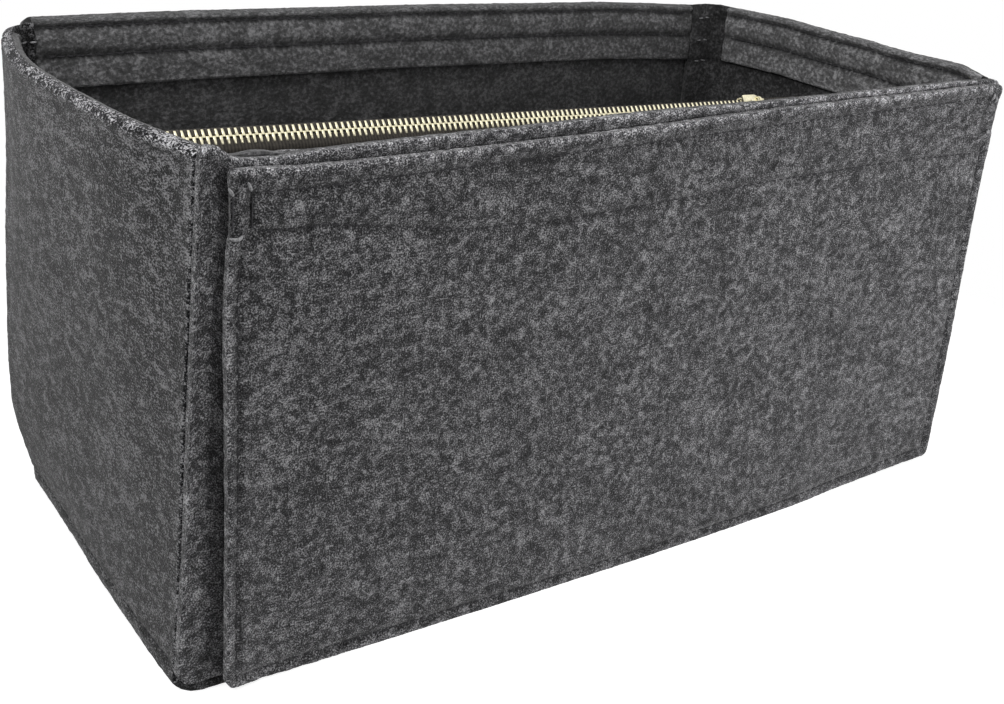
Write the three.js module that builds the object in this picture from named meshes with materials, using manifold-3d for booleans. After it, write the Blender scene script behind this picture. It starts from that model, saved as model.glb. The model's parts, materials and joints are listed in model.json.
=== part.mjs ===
// A felt organizer insert for a handbag: an open box of stiff felt sheets with a flat front pocket,
// stitched bands inside its rim and a narrow zipped pouch that divides the inside in two.
// Millimetres, +Z up. X runs along the length, the front faces -Y and the underside lies at Z = 0.
import * as THREE from "three";
import { mergeVertices } from "three/addons/utils/BufferGeometryUtils.js";
import Module from "manifold-3d";

const wasm = await Module();
wasm.setup();

// Felt, and the clearances between sewn pieces
const feltThickness = 3;
const layerGap = 0.4;
const seatGap = 0.3;
const edgeRound = 0.8;
const overrun = 1;

// Body
const bodyLength = 344;
const overallDepth = 166;
const frontHeight = 162;
const leftFrontRise = 3;
const leftRearRise = 4.5;
const rightRearRise = 0.4;
const rearPanelLeftRise = 6.5;
const rearPanelRightRise = 0;
const raisedRimLength = 45;
const rearLean = 3.5;
const panelCornerRadius = 6;
const baseFrontRadius = 8;
const baseRearRadius = 15;
const rearCornerRadius = 13;
const lapLength = 5;
const rearPanelStep = 14;
const cornerSteps = 6;
const wallSteps = 8;

// How far each end wall's outer face stands inside the overall length, at its corners
const leftFootRearInset = 6.5;
const leftRimFrontInset = 4;
const leftRimRearInset = 6.5;
const leftRimBulge = 5;

// Front pocket
const pocketTopDrop = 2;
const pocketRaise = 1.5;
const pocketLeftMargin = 12.2;
const pocketRightMargin = 5.2;
const pocketCornerRadius = 3;
const pocketSeamMargin = 4;
const pocketHemDepths = [5.5, 25.5];

// Bands inside the rim
const bandHeight = 24.7;
const bandDrop = 0.5;
const bandSeamDepths = [3.6, 13.8];
const endBandRearMargin = 17;

// Thread, lying in the groove that it pulls into the felt
const threadWidth = 0.6;
const threadThickness = 0.5;
const grooveWidth = 1.2;
const grooveDepth = 0.8;
const threadEndMargin = 1.5;
const footSeamHeight = 5;
const pocketTackLength = 16.5;
const pocketTackWidth = 5;
const cornerTackHeight = 14;
const cornerTackWidth = 4;
const cornerTackDepth = 4;

// Zip: its line falls to the right, and its teeth lean towards the front
const zipSetback = 80.6;
const zipBelowRim = 20.5;
const zipSlope = THREE.MathUtils.degToRad(2);
const zipTilt = THREE.MathUtils.degToRad(51);
const chainLeftMargin = 25.5;
const chainRightMargin = 51;
const toothPitch = 2.3;
const toothDutyShare = 0.5;
const toothThickness = 2;
const rowInnerReach = 0.5;
const rowSpineReach = 1.5;
const rowOuterReach = 2.8;
const stopLength = 2.5;
const stopThickness = 2.4;

// Zip tapes
const tapeThickness = 0.6;
const tapeFlatReach = 4.6;
const tapeDrop = 11;
const tapeEndGap = 0.8;
const zipSeamDepth = 5;

// Slider and pull
const sliderLength = 10;
const sliderHalfWidth = 4.2;
const sliderNoseHalfWidth = 2.1;
const sliderNoseLength = 2.8;
const sliderThroatHalf = 1.3;
const sliderPlate = 0.7;
const flangeInnerReach = 3.2;
const flangeGapHalf = 0.6;
const postHalfWidth = 0.2;
const postLength = 1.6;
const bridgeLength = 7;
const bridgeBar = 0.9;
const bridgeLeg = 1;
const bridgeHalfWidth = 0.8;
const bridgeOpening = 2.1;
const bridgeRound = 0.5;
const pullLength = 22;
const pullThickness = 1;
const pullEyeRadius = 2.1;
const pullHoleRadius = 1.25;
const pullTipHalfWidth = 2.3;
const pullNeckLength = 6;
const pullRestAngle = THREE.MathUtils.degToRad(9);

// Zipped pouch
const pouchRearFall = 1.6;
const pouchFrontFall = 4.5;

// Places worked out from those sizes
const pocketFace = -overallDepth / 2;
const bodyFace = pocketFace + feltThickness + layerGap;
const bodyInner = bodyFace + feltThickness;
const sheetStart = bodyInner + layerGap;
const rearRimFace = overallDepth / 2;
const rearFootFace = rearRimFace - rearLean;
const footLevel = feltThickness + seatGap;
const leftEdge = -bodyLength / 2;
const rightEdge = bodyLength / 2;
const bandInset = feltThickness + layerGap;
const zipY = pocketFace + zipSetback;
const bulgeEnd = rearRimFace - bandInset - rearCornerRadius;
const pocketLeft = leftEdge + pocketLeftMargin;
const pocketRight = rightEdge - pocketRightMargin;
const pocketTop = frontHeight - pocketTopDrop;
const zipHeight = frontHeight - zipBelowRim;
const chainStart = leftEdge + chainLeftMargin;
const chainEnd = rightEdge - chainRightMargin;

const leftEnd = {
  edge: leftEdge,
  inward: 1,
  footRearInset: leftFootRearInset,
  rimFrontInset: leftRimFrontInset,
  rimRearInset: leftRimRearInset,
  rimBulge: leftRimBulge,
  frontHeight: frontHeight + leftFrontRise,
  rearHeight: frontHeight + leftRearRise,
};
const rightEnd = {
  edge: rightEdge,
  inward: -1,
  footRearInset: 0,
  rimFrontInset: 0,
  rimRearInset: 0,
  rimBulge: 0,
  frontHeight: frontHeight,
  rearHeight: frontHeight + rightRearRise,
};

const felt = new THREE.MeshStandardMaterial({ color: 0x5a585c, roughness: 0.95, metalness: 0 });
const tapeCloth = new THREE.MeshStandardMaterial({ color: 0x2b2326, roughness: 0.9, metalness: 0 });
const thread = new THREE.MeshStandardMaterial({ color: 0x3c3b40, roughness: 0.8, metalness: 0 });
const brass = new THREE.MeshStandardMaterial({ color: 0xb8963f, roughness: 0.35, metalness: 1 });

const part = new THREE.Group();

function addPiece(name, geometry, material, parent = part) {
  const mesh = new THREE.Mesh(geometry, material);
  mesh.name = name;
  parent.add(mesh);
  return mesh;
}

// Joining and cutting closed surfaces
function toSolid(geometry) {
  const bare = geometry.clone();
  bare.deleteAttribute("normal");
  bare.deleteAttribute("uv");
  const merged = mergeVertices(bare);
  return new wasm.Manifold(
    new wasm.Mesh({
      numProp: 3,
      vertProperties: new Float32Array(merged.attributes.position.array),
      triVerts: new Uint32Array(merged.index.array),
    }),
  );
}

function toGeometry(solid) {
  const mesh = solid.getMesh();
  const geometry = new THREE.BufferGeometry();
  geometry.setAttribute("position", new THREE.BufferAttribute(mesh.vertProperties, 3));
  geometry.setIndex(new THREE.BufferAttribute(mesh.triVerts, 1));
  return geometry;
}

function cut(geometry, cutters) {
  return toGeometry(cutters.reduce((solid, cutter) => solid.subtract(toSolid(cutter)), toSolid(geometry)));
}

function join(geometries) {
  return toGeometry(geometries.map(toSolid).reduce((whole, next) => whole.add(next)));
}

// A closed body through a run of rings that have the same number of corners
function loft(rings) {
  const corners = rings[0].length;
  const last = (rings.length - 1) * corners;
  const index = [];
  for (let ring = 0; ring < rings.length - 1; ring++) {
    for (let corner = 0; corner < corners; corner++) {
      const a = ring * corners + corner;
      const b = ring * corners + ((corner + 1) % corners);
      index.push(a, b, b + corners, a, b + corners, a + corners);
    }
  }
  for (let corner = 1; corner < corners - 1; corner++) {
    index.push(0, corner + 1, corner);
    index.push(last, last + corner, last + corner + 1);
  }
  const geometry = new THREE.BufferGeometry();
  const positions = rings.flat().flatMap((point) => [point.x, point.y, point.z]);
  geometry.setAttribute("position", new THREE.Float32BufferAttribute(positions, 3));
  geometry.setIndex(index);
  if (toSolid(geometry).volume() < 0) geometry.setIndex(index.toReversed());
  return geometry;
}

// A plan path moved sideways to its right hand, with mitred corners
function movedPath(points, distance) {
  const normals = points.slice(1).map((point, i) => {
    const along = point.clone().sub(points[i]).normalize();
    return new THREE.Vector2(along.y, -along.x);
  });
  return points.map((point, i) => {
    const before = normals[Math.max(i - 1, 0)];
    const after = normals[Math.min(i, normals.length - 1)];
    const mitre = before.clone().add(after);
    return point.clone().addScaledVector(mitre, distance / (1 + before.dot(after)));
  });
}

// A sheet that stands along a wall. The stations give the wall's outer face, from the sheet's lower
// edge to its upper one, and the sheet fills the layer from inset to inset + thickness behind it.
function standingSheet(stations, hand, inset, thickness, round = 0) {
  const layer = (level, distance) => movedPath(stations.map((station) => station[level]), hand * distance);
  const outerLow = layer("low", inset);
  const outerHigh = layer("high", inset);
  const innerLow = layer("low", inset + thickness);
  const innerHigh = layer("high", inset + thickness);
  const rings = stations.map(({ bottom, top }, i) => {
    const at = (low, high, z) => {
      const plan = low.clone().lerp(high, (z - bottom) / (top - bottom));
      return new THREE.Vector3(plan.x, plan.y, z);
    };
    const outer = [outerLow[i], outerHigh[i]];
    const inner = [innerLow[i], innerHigh[i]];
    if (!round) return [at(...outer, bottom), at(...outer, top), at(...inner, top), at(...inner, bottom)];
    const share = round / thickness;
    const ridge = [outer, inner].map(([low, high], side) => {
      const other = side ? outer : inner;
      return at(low, high, top).lerp(at(...other, top), share);
    });
    return [
      at(...outer, bottom),
      at(...outer, top - round),
      ridge[0],
      ridge[1],
      at(...inner, top - round),
      at(...inner, bottom),
    ];
  });
  return loft(rings);
}

// An outline of corners with a rounding radius each
function roundedShape(corners) {
  const shape = new THREE.Shape();
  corners.forEach(([x, y, radius = 0], i) => {
    const corner = new THREE.Vector2(x, y);
    const towards = (other) => {
      const side = new THREE.Vector2(other[0], other[1]).sub(corner);
      return corner.clone().addScaledVector(side.normalize(), radius);
    };
    const start = towards(corners[(i + corners.length - 1) % corners.length]);
    const end = towards(corners[(i + 1) % corners.length]);
    if (i) shape.lineTo(start.x, start.y);
    else shape.moveTo(start.x, start.y);
    if (radius) shape.quadraticCurveTo(x, y, end.x, end.y);
  });
  shape.closePath();
  return shape;
}

// An outline drawn in X and Z, with its front face at the given depth
function uprightSlab(corners, front, thickness) {
  const shape = roundedShape(corners);
  const slab = new THREE.ExtrudeGeometry(shape, { depth: thickness, bevelEnabled: false, curveSegments: 4 });
  return slab.rotateX(Math.PI / 2).translate(0, front + thickness, 0);
}

function box(left, right, front, rear, bottom, top) {
  const body = new THREE.BoxGeometry(right - left, rear - front, top - bottom);
  return body.translate((left + right) / 2, (front + rear) / 2, (bottom + top) / 2);
}

// End walls: rim height, height share and outer face at a depth
function depthShare(y) {
  return (y - sheetStart) / (rearRimFace - sheetStart);
}

function endHeight(end, y) {
  return THREE.MathUtils.lerp(end.frontHeight, end.rearHeight, depthShare(y));
}

function endFace(end, y, share) {
  const foot = end.footRearInset * depthShare(y);
  const along = THREE.MathUtils.clamp((y - sheetStart) / (bulgeEnd - sheetStart), 0, 1);
  const bulge = end.rimBulge * 4 * along * (1 - along);
  const rim = THREE.MathUtils.lerp(end.rimFrontInset, end.rimRearInset, depthShare(y)) - bulge;
  return end.edge + end.inward * THREE.MathUtils.lerp(foot, rim, share);
}

function endFaceAt(end, y, z) {
  return endFace(end, y, (z - footLevel) / (endHeight(end, y) - footLevel));
}

function evenPlaces(from, to) {
  return Array.from({ length: wallSteps + 1 }, (_, step) => THREE.MathUtils.lerp(from, to, step / wallSteps));
}

// Stations along an end wall's straight stretch, between two heights that follow its rim
function endStations(end, from, to, bottomAt, topAt) {
  return evenPlaces(from, to).map((y) => ({
    low: new THREE.Vector2(endFaceAt(end, y, bottomAt(y)), y),
    high: new THREE.Vector2(endFaceAt(end, y, topAt(y)), y),
    bottom: bottomAt(y),
    top: topAt(y),
  }));
}

// Rear wall: rim height along X, and its outer face
const rearPanelLeft = endFace(leftEnd, rearRimFace, 1) + rearPanelStep;
const rearPanelRight = endFace(rightEnd, rearRimFace, 1) - rearPanelStep;

function rearHeight(x) {
  const share = (x - rearPanelLeft) / (rearPanelRight - rearPanelLeft);
  return frontHeight + THREE.MathUtils.lerp(rearPanelLeftRise, rearPanelRightRise, share);
}

function rearFaceAt(x, z) {
  return rearFootFace + (rearLean * (z - footLevel)) / (rearHeight(x) - footLevel);
}

function rearStations(from, to, bottomAt, topAt) {
  return [from, to].map((x) => ({
    low: new THREE.Vector2(x, rearFaceAt(x, bottomAt(x))),
    high: new THREE.Vector2(x, rearFaceAt(x, topAt(x))),
    bottom: bottomAt(x),
    top: topAt(x),
  }));
}

// Front wall: its rim rises to the left corner
const raisedRimEnd = leftEdge + leftRimFrontInset + raisedRimLength;

function frontHeightAt(x) {
  const share = Math.max(0, (raisedRimEnd - x) / raisedRimLength);
  return frontHeight + leftFrontRise * share;
}

const footAt = () => footLevel;

// Base
addPiece(
  "base_panel",
  new THREE.ExtrudeGeometry(
    roundedShape([
      [endFace(leftEnd, sheetStart, 0), bodyFace, baseFrontRadius],
      [endFace(rightEnd, sheetStart, 0), bodyFace, baseFrontRadius],
      [endFace(rightEnd, rearFootFace, 0), rearFootFace, baseRearRadius],
      [endFace(leftEnd, rearFootFace, 0), rearFootFace, baseRearRadius],
    ]),
    { depth: feltThickness, bevelEnabled: false, curveSegments: 6 },
  ),
  felt,
);

// Front wall
addPiece(
  "front_body_panel",
  uprightSlab(
    [
      [leftEdge, footLevel, panelCornerRadius],
      [rightEdge, footLevel, panelCornerRadius],
      [rightEdge, frontHeight, panelCornerRadius],
      [raisedRimEnd, frontHeight],
      [leftEdge + leftRimFrontInset, leftEnd.frontHeight, panelCornerRadius],
    ],
    bodyFace,
    feltThickness,
  ),
  felt,
);

// Front pocket, sewn along both sides and the bottom, with two rows across below its top edge
function seamOutline(left, right, bottom, top, width) {
  const half = width / 2;
  return [
    [left - half, top],
    [left - half, bottom - half],
    [right + half, bottom - half],
    [right + half, top],
    [right - half, top],
    [right - half, bottom + half],
    [left + half, bottom + half],
    [left + half, top],
  ];
}

const seamLeft = pocketLeft + pocketSeamMargin;
const seamRight = pocketRight - pocketSeamMargin;
const seamBottom = pocketRaise + pocketSeamMargin;
const tackTop = pocketTop - pocketSeamMargin;
const tackBottom = tackTop - pocketTackLength;
const seamTop = tackBottom - threadEndMargin;
const hemLeft = pocketLeft + pocketTackWidth + threadEndMargin;
const hemRight = pocketRight - pocketTackWidth - threadEndMargin;
const tackRight = pocketRight - pocketTackWidth;
const tackLeftEnd = pocketLeft + pocketTackWidth;
const tacks = [
  { side: "left", start: pocketLeft, grooveStart: pocketLeft - overrun, grooveEnd: tackLeftEnd },
  { side: "right", start: tackRight, grooveStart: tackRight, grooveEnd: pocketRight + overrun },
];

const pocketGrooves = [
  uprightSlab(
    seamOutline(seamLeft, seamRight, seamBottom, seamTop + threadEndMargin / 2, grooveWidth),
    pocketFace - overrun,
    overrun + grooveDepth,
  ),
  ...pocketHemDepths.map((depth) =>
    box(
      hemLeft - threadEndMargin / 2,
      hemRight + threadEndMargin / 2,
      pocketFace - overrun,
      pocketFace + grooveDepth,
      pocketTop - depth - grooveWidth / 2,
      pocketTop - depth + grooveWidth / 2,
    ),
  ),
  ...tacks.map(({ grooveStart, grooveEnd }) =>
    box(grooveStart, grooveEnd, pocketFace - overrun, pocketFace + grooveDepth, tackBottom, tackTop),
  ),
];

addPiece(
  "pocket_panel",
  cut(
    uprightSlab(
      [
        [pocketLeft, pocketRaise, pocketCornerRadius],
        [pocketRight, pocketRaise, pocketCornerRadius],
        [pocketRight, pocketTop, pocketCornerRadius],
        [pocketLeft, pocketTop, pocketCornerRadius],
      ],
      pocketFace,
      feltThickness,
    ),
    pocketGrooves,
  ),
  felt,
);

const seamThread = seamOutline(seamLeft, seamRight, seamBottom, seamTop, threadWidth);
addPiece("pocket_seam_thread", uprightSlab(seamThread, pocketFace, threadThickness), thread);

pocketHemDepths.forEach((depth, row) => {
  const middle = pocketTop - depth;
  const half = threadWidth / 2;
  const strip = [hemLeft, hemRight, pocketFace, pocketFace + threadThickness, middle - half, middle + half];
  addPiece("pocket_hem_thread_" + (row + 1), box(...strip), thread);
});

for (const { side, start } of tacks) {
  const width = [start + seatGap, start + pocketTackWidth - seatGap];
  const depth = [pocketFace, pocketFace + threadThickness];
  const height = [tackBottom + seatGap, tackTop - seatGap];
  addPiece("pocket_tack_" + side, box(...width, ...depth, ...height), thread);
}

// End walls, which bend round the rear corners and lap inside the rear wall
function endWallStations(end) {
  const path = (share) => {
    const lapFace = rearFootFace + rearLean * share - feltThickness - layerGap;
    const corner = endFace(end, lapFace, share);
    const centre = new THREE.Vector2(corner + end.inward * rearCornerRadius, lapFace - rearCornerRadius);
    const straight = evenPlaces(sheetStart, centre.y).slice(0, -1);
    const points = straight.map((y) => new THREE.Vector2(endFace(end, y, share), y));
    for (let step = 0; step <= cornerSteps; step++) {
      const angle = (Math.PI / 2) * (step / cornerSteps);
      points.push(
        new THREE.Vector2(
          centre.x - end.inward * rearCornerRadius * Math.cos(angle),
          centre.y + rearCornerRadius * Math.sin(angle),
        ),
      );
    }
    points.push(new THREE.Vector2(centre.x + end.inward * lapLength, lapFace));
    return points;
  };
  const feet = path(0);
  const rims = path(1);
  return feet.map((low, i) => ({ low, high: rims[i], bottom: footLevel, top: endHeight(end, rims[i].y) }));
}

// A seam row on a wall sheet: the groove that is cut and the thread that lies in it
function seamRow(stationsBetween, hand, faceInset, into) {
  const strip = (halfWidth, from, to) => {
    const inset = Math.min(faceInset + into * from, faceInset + into * to);
    return standingSheet(stationsBetween(halfWidth), hand, inset, Math.abs(to - from));
  };
  return {
    groove: strip(grooveWidth / 2, -overrun, grooveDepth),
    thread: strip(threadWidth / 2, 0, threadThickness),
  };
}

const footSeamStart = sheetStart + threadEndMargin;
const bendStart = rearFootFace - feltThickness - layerGap - rearCornerRadius;

for (const [side, end] of Object.entries({ left: leftEnd, right: rightEnd })) {
  const hand = end.inward;
  const seamZ = footLevel + footSeamHeight;
  const footSeam = seamRow(
    (half) =>
      endStations(end, footSeamStart, bendStart - threadEndMargin, () => seamZ - half, () => seamZ + half),
    hand,
    0,
    1,
  );
  const wall = standingSheet(endWallStations(end), hand, 0, feltThickness, edgeRound);
  addPiece(side + "_end_panel", cut(wall, [footSeam.groove]), felt);
  addPiece(side + "_foot_thread", footSeam.thread, thread);
}

// Rear wall
const rearSeamZ = footLevel + footSeamHeight;
const rearFootSeam = seamRow(
  (half) =>
    rearStations(
      rearPanelLeft + threadEndMargin,
      rearPanelRight - threadEndMargin,
      () => rearSeamZ - half,
      () => rearSeamZ + half,
    ),
  1,
  0,
  1,
);
const rearPanel = rearStations(rearPanelLeft, rearPanelRight, footAt, rearHeight);
addPiece(
  "rear_body_panel",
  cut(standingSheet(rearPanel, 1, 0, feltThickness, edgeRound), [rearFootSeam.groove]),
  felt,
);
addPiece("rear_foot_thread", rearFootSeam.thread, thread);

// Bands inside the rim, each with two seam rows on its inner face
function addBand(side, stations, hand, from, to, heightAt) {
  const faceInset = bandInset + feltThickness;
  const rows = bandSeamDepths.map((depth) =>
    seamRow(
      (half) =>
        stations(
          from + threadEndMargin,
          to - threadEndMargin,
          (at) => heightAt(at) - depth - half,
          (at) => heightAt(at) - depth + half,
        ),
      hand,
      faceInset,
      -1,
    ),
  );
  const band = standingSheet(
    stations(from, to, (at) => heightAt(at) - bandHeight, (at) => heightAt(at) - bandDrop),
    hand,
    bandInset,
    feltThickness,
    edgeRound,
  );
  addPiece(side + "_rim_band", cut(band, rows.map((row) => row.groove)), felt);
  rows.forEach((row, i) => addPiece(side + "_band_thread_" + (i + 1), row.thread, thread));
}

const endBandStart = bodyInner + layerGap + feltThickness + seatGap;
const endBandEnd = rearRimFace - endBandRearMargin;
for (const [side, end] of Object.entries({ left: leftEnd, right: rightEnd })) {
  const stations = (...range) => endStations(end, ...range);
  addBand(side, stations, end.inward, endBandStart, endBandEnd, (y) => endHeight(end, y));
}

const lapReach = rearCornerRadius + lapLength + seatGap;
const rearBandLeft = endFace(leftEnd, rearRimFace, 1) + lapReach;
const rearBandRight = endFace(rightEnd, rearRimFace, 1) - lapReach;
addBand("rear", rearStations, 1, rearBandLeft, rearBandRight, rearHeight);

// The front band's path runs from right to left, so that the inside stays on its right hand
function frontStations(from, to, bottomAt, topAt) {
  const middle = from < raisedRimEnd && raisedRimEnd < to ? [raisedRimEnd] : [];
  return [to, ...middle, from].map((x) => ({
    low: new THREE.Vector2(x, bodyFace),
    high: new THREE.Vector2(x, bodyFace),
    bottom: bottomAt(x),
    top: topAt(x),
  }));
}

const frontBandLeft = leftEdge + leftRimFrontInset + feltThickness + layerGap;
const frontBandRight = rightEdge - feltThickness - layerGap;
addBand("front", frontStations, 1, frontBandLeft, frontBandRight, frontHeightAt);

// Bar tacks that close the laps in the rear corners
for (const [side, end] of Object.entries({ left: leftEnd, right: rightEnd })) {
  const flatStart = endFace(end, rearRimFace, 1) + end.inward * (rearCornerRadius + lapLength / 2);
  const near = flatStart - cornerTackWidth / 2;
  const far = flatStart + cornerTackWidth / 2;
  const top = (x) => rearHeight(x) - cornerTackDepth;
  const stations = rearStations(near, far, (x) => top(x) - cornerTackHeight, top);
  const inset = feltThickness + layerGap + feltThickness + seatGap;
  addPiece(side + "_corner_tack", standingSheet(stations, 1, inset, threadThickness), thread);
}

// Zip: how places across the chain and square to it lie in depth and height
const acrossY = Math.cos(zipTilt);
const acrossZ = Math.sin(zipTilt);

function chainPlace(across, normal) {
  return new THREE.Vector2(across * acrossY - normal * acrossZ, across * acrossZ + normal * acrossY);
}

function zipLineAt(x) {
  return zipHeight - x * Math.tan(zipSlope);
}

const plateTop = sliderThroatHalf + sliderPlate;
const sliderRearReach = chainPlace(sliderHalfWidth, -plateTop).x;
const rearTapeMiddle = sliderRearReach + seatGap + tapeThickness / 2;
const rearSheetFront = rearTapeMiddle + tapeThickness / 2 + seatGap;
const frontTapeMiddle = chainPlace(-tapeFlatReach, 0).x;
const frontSheetRear = frontTapeMiddle - tapeThickness / 2 - seatGap;
const tapeShelf = chainPlace(tapeFlatReach, 0).y + tapeThickness / 2;

// Pouch sheets stand on the base and butt on the end walls, stepping in round the bands
function sheetEdge(end, y, bottom, topAt) {
  const face = (z, inset) => endFaceAt(end, y, z) + end.inward * (inset + seatGap);
  const bandEdge = endHeight(end, y) - bandHeight - seatGap;
  const top = topAt(face(bandEdge, feltThickness));
  if (top < bandEdge) return [[face(bottom, feltThickness), bottom], [face(top, feltThickness), top]];
  const bandFace = bandInset + feltThickness;
  return [
    [face(bottom, feltThickness), bottom],
    [face(bandEdge, feltThickness), bandEdge],
    [face(bandEdge, bandFace), bandEdge],
    [face(top, bandFace), topAt(face(top, bandFace))],
  ];
}

function pouchSheet(front, rise, outerFace, into) {
  const topAt = (x) => zipLineAt(x) + rise;
  const rear = front + feltThickness;
  const left = sheetEdge(leftEnd, rear, footLevel, topAt);
  const right = sheetEdge(rightEnd, rear, footLevel, topAt);
  const sheet = uprightSlab([...left.toReversed(), ...right], front, feltThickness);
  const [from, to] = [left.at(-1)[0] + threadEndMargin, right.at(-1)[0] - threadEndMargin];
  const strip = (half, depth, start) =>
    uprightSlab(
      [
        [from, topAt(from) - zipSeamDepth - half],
        [to, topAt(to) - zipSeamDepth - half],
        [to, topAt(to) - zipSeamDepth + half],
        [from, topAt(from) - zipSeamDepth + half],
      ],
      start,
      depth,
    );
  const grooveFront = into > 0 ? outerFace - overrun : outerFace - grooveDepth;
  const threadFront = into > 0 ? outerFace : outerFace - threadThickness;
  return {
    sheet: cut(sheet, [strip(grooveWidth / 2, grooveDepth + overrun, grooveFront)]),
    seam: strip(threadWidth / 2, threadThickness, threadFront),
  };
}

const frontSheetFace = zipY + frontSheetRear - feltThickness;
const rearSheetFace = zipY + rearSheetFront + feltThickness;
const frontPouch = pouchSheet(frontSheetFace, -pouchFrontFall, frontSheetFace, 1);
const rearPouch = pouchSheet(zipY + rearSheetFront, tapeShelf - pouchRearFall, rearSheetFace, -1);
addPiece("pouch_front_sheet", frontPouch.sheet, felt);
addPiece("pouch_rear_sheet", rearPouch.sheet, felt);
addPiece("zip_seam_thread_front", frontPouch.seam, thread);
addPiece("zip_seam_thread_rear", rearPouch.seam, thread);
addPiece(
  "pouch_bottom_strip",
  box(
    endFace(leftEnd, zipY, 0) + feltThickness + seatGap,
    endFace(rightEnd, zipY, 0) - feltThickness - seatGap,
    zipY + frontSheetRear + seatGap,
    zipY + rearSheetFront - seatGap,
    footLevel,
    footLevel + feltThickness,
  ),
  felt,
);

// The zip's own frame: X along its line, with the chain tilted inside it
const zip = new THREE.Group();
zip.position.set(0, zipY, zipHeight);
zip.rotation.y = zipSlope;
part.add(zip);

const chain = new THREE.Group();
chain.rotation.x = zipTilt;
zip.add(chain);

// A thin strip of cloth along the zip, whose section follows a line in depth and height
function tape(line) {
  const half = tapeThickness / 2;
  const section = [...movedPath(line, half), ...movedPath(line, -half).reverse()];
  const bandFace = bandInset + feltThickness + tapeEndGap;
  const from = (endFaceAt(leftEnd, zipY, zipLineAt(leftEdge)) + bandFace) / Math.cos(zipSlope);
  const to = (endFaceAt(rightEnd, zipY, zipLineAt(rightEdge)) - bandFace) / Math.cos(zipSlope);
  const shape = new THREE.Shape(section);
  const strip = new THREE.ExtrudeGeometry(shape, { depth: to - from, bevelEnabled: false });
  const turn = new THREE.Matrix4().makeBasis(
    new THREE.Vector3(0, 1, 0),
    new THREE.Vector3(0, 0, 1),
    new THREE.Vector3(1, 0, 0),
  );
  return strip.applyMatrix4(turn).translate(from, 0, 0);
}

const tapeStart = rowOuterReach + seatGap;
addPiece(
  "zip_tape_front",
  tape([
    chainPlace(-tapeStart, 0),
    chainPlace(-tapeFlatReach, 0),
    new THREE.Vector2(frontTapeMiddle, chainPlace(-tapeFlatReach, 0).y - tapeDrop),
  ]),
  tapeCloth,
  zip,
);
addPiece(
  "zip_tape_rear",
  tape([
    chainPlace(tapeStart, 0),
    chainPlace(tapeFlatReach, 0),
    new THREE.Vector2(rearTapeMiddle, chainPlace(tapeFlatReach, 0).y),
    new THREE.Vector2(rearTapeMiddle, chainPlace(tapeFlatReach, 0).y - tapeDrop),
  ]),
  tapeCloth,
  zip,
);

// Rows of teeth, clamped along the tapes' edges and set half a pitch apart
function teethRow(side) {
  const start = chainStart + (side > 0 ? toothPitch / 2 : 0);
  const toothCount = Math.floor((chainEnd - chainStart) / toothPitch) - 1;
  const width = toothPitch * toothDutyShare;
  const row = new THREE.Shape();
  row.moveTo(start, side * rowOuterReach);
  row.lineTo(start, side * rowSpineReach);
  for (let tooth = 0; tooth < toothCount; tooth++) {
    const left = start + (tooth + (1 - toothDutyShare) / 2) * toothPitch;
    row.lineTo(left, side * rowSpineReach);
    row.lineTo(left, side * rowInnerReach);
    row.lineTo(left + width, side * rowInnerReach);
    row.lineTo(left + width, side * rowSpineReach);
  }
  const finish = start + toothCount * toothPitch;
  row.lineTo(finish, side * rowSpineReach);
  row.lineTo(finish, side * rowOuterReach);
  const body = new THREE.ExtrudeGeometry(row, { depth: toothThickness, bevelEnabled: false });
  return body.translate(0, 0, -toothThickness / 2);
}

addPiece("zip_teeth_front", teethRow(-1), brass, chain);
addPiece("zip_teeth_rear", teethRow(1), brass, chain);

// Stops: one across both rows where the zip opens to, and one on each row where it closes
function stop(left, front, rear) {
  return box(left, left + stopLength, front, rear, -stopThickness / 2, stopThickness / 2);
}

addPiece(
  "zip_bottom_stop",
  stop(chainStart - seatGap - stopLength, -rowOuterReach, rowOuterReach),
  brass,
  chain,
);
const topStopStart = chainEnd + seatGap;
addPiece("zip_top_stop_front", stop(topStopStart, -rowOuterReach, -rowInnerReach), brass, chain);
addPiece("zip_top_stop_rear", stop(topStopStart, rowInnerReach, rowOuterReach), brass, chain);

// Slider: two plates round the rows, held apart by the post at its nose, with a bridge for the pull
const sliderPlace = chainEnd - sliderLength / 2;
const slider = new THREE.Group();
slider.position.set(sliderPlace, 0, 0);
chain.add(slider);

const sliderTail = -sliderLength / 2;
const sliderNose = sliderLength / 2;
const sliderShoulder = sliderNose - sliderNoseLength;

function sliderPlateAt(bottom) {
  const outline = roundedShape([
    [sliderTail, -sliderHalfWidth, sliderPlate],
    [sliderShoulder, -sliderHalfWidth, sliderPlate],
    [sliderNose, -sliderNoseHalfWidth, sliderPlate],
    [sliderNose, sliderNoseHalfWidth, sliderPlate],
    [sliderShoulder, sliderHalfWidth, sliderPlate],
    [sliderTail, sliderHalfWidth, sliderPlate],
  ]);
  const plate = new THREE.ExtrudeGeometry(outline, {
    depth: sliderPlate,
    bevelEnabled: false,
    curveSegments: 3,
  });
  return plate.translate(0, 0, bottom);
}

// An outline drawn along the chain and square to it, as wide as the bridge
function bridgeSlab(corners, halfWidth) {
  return uprightSlab(corners, -halfWidth, halfWidth * 2);
}

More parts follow.
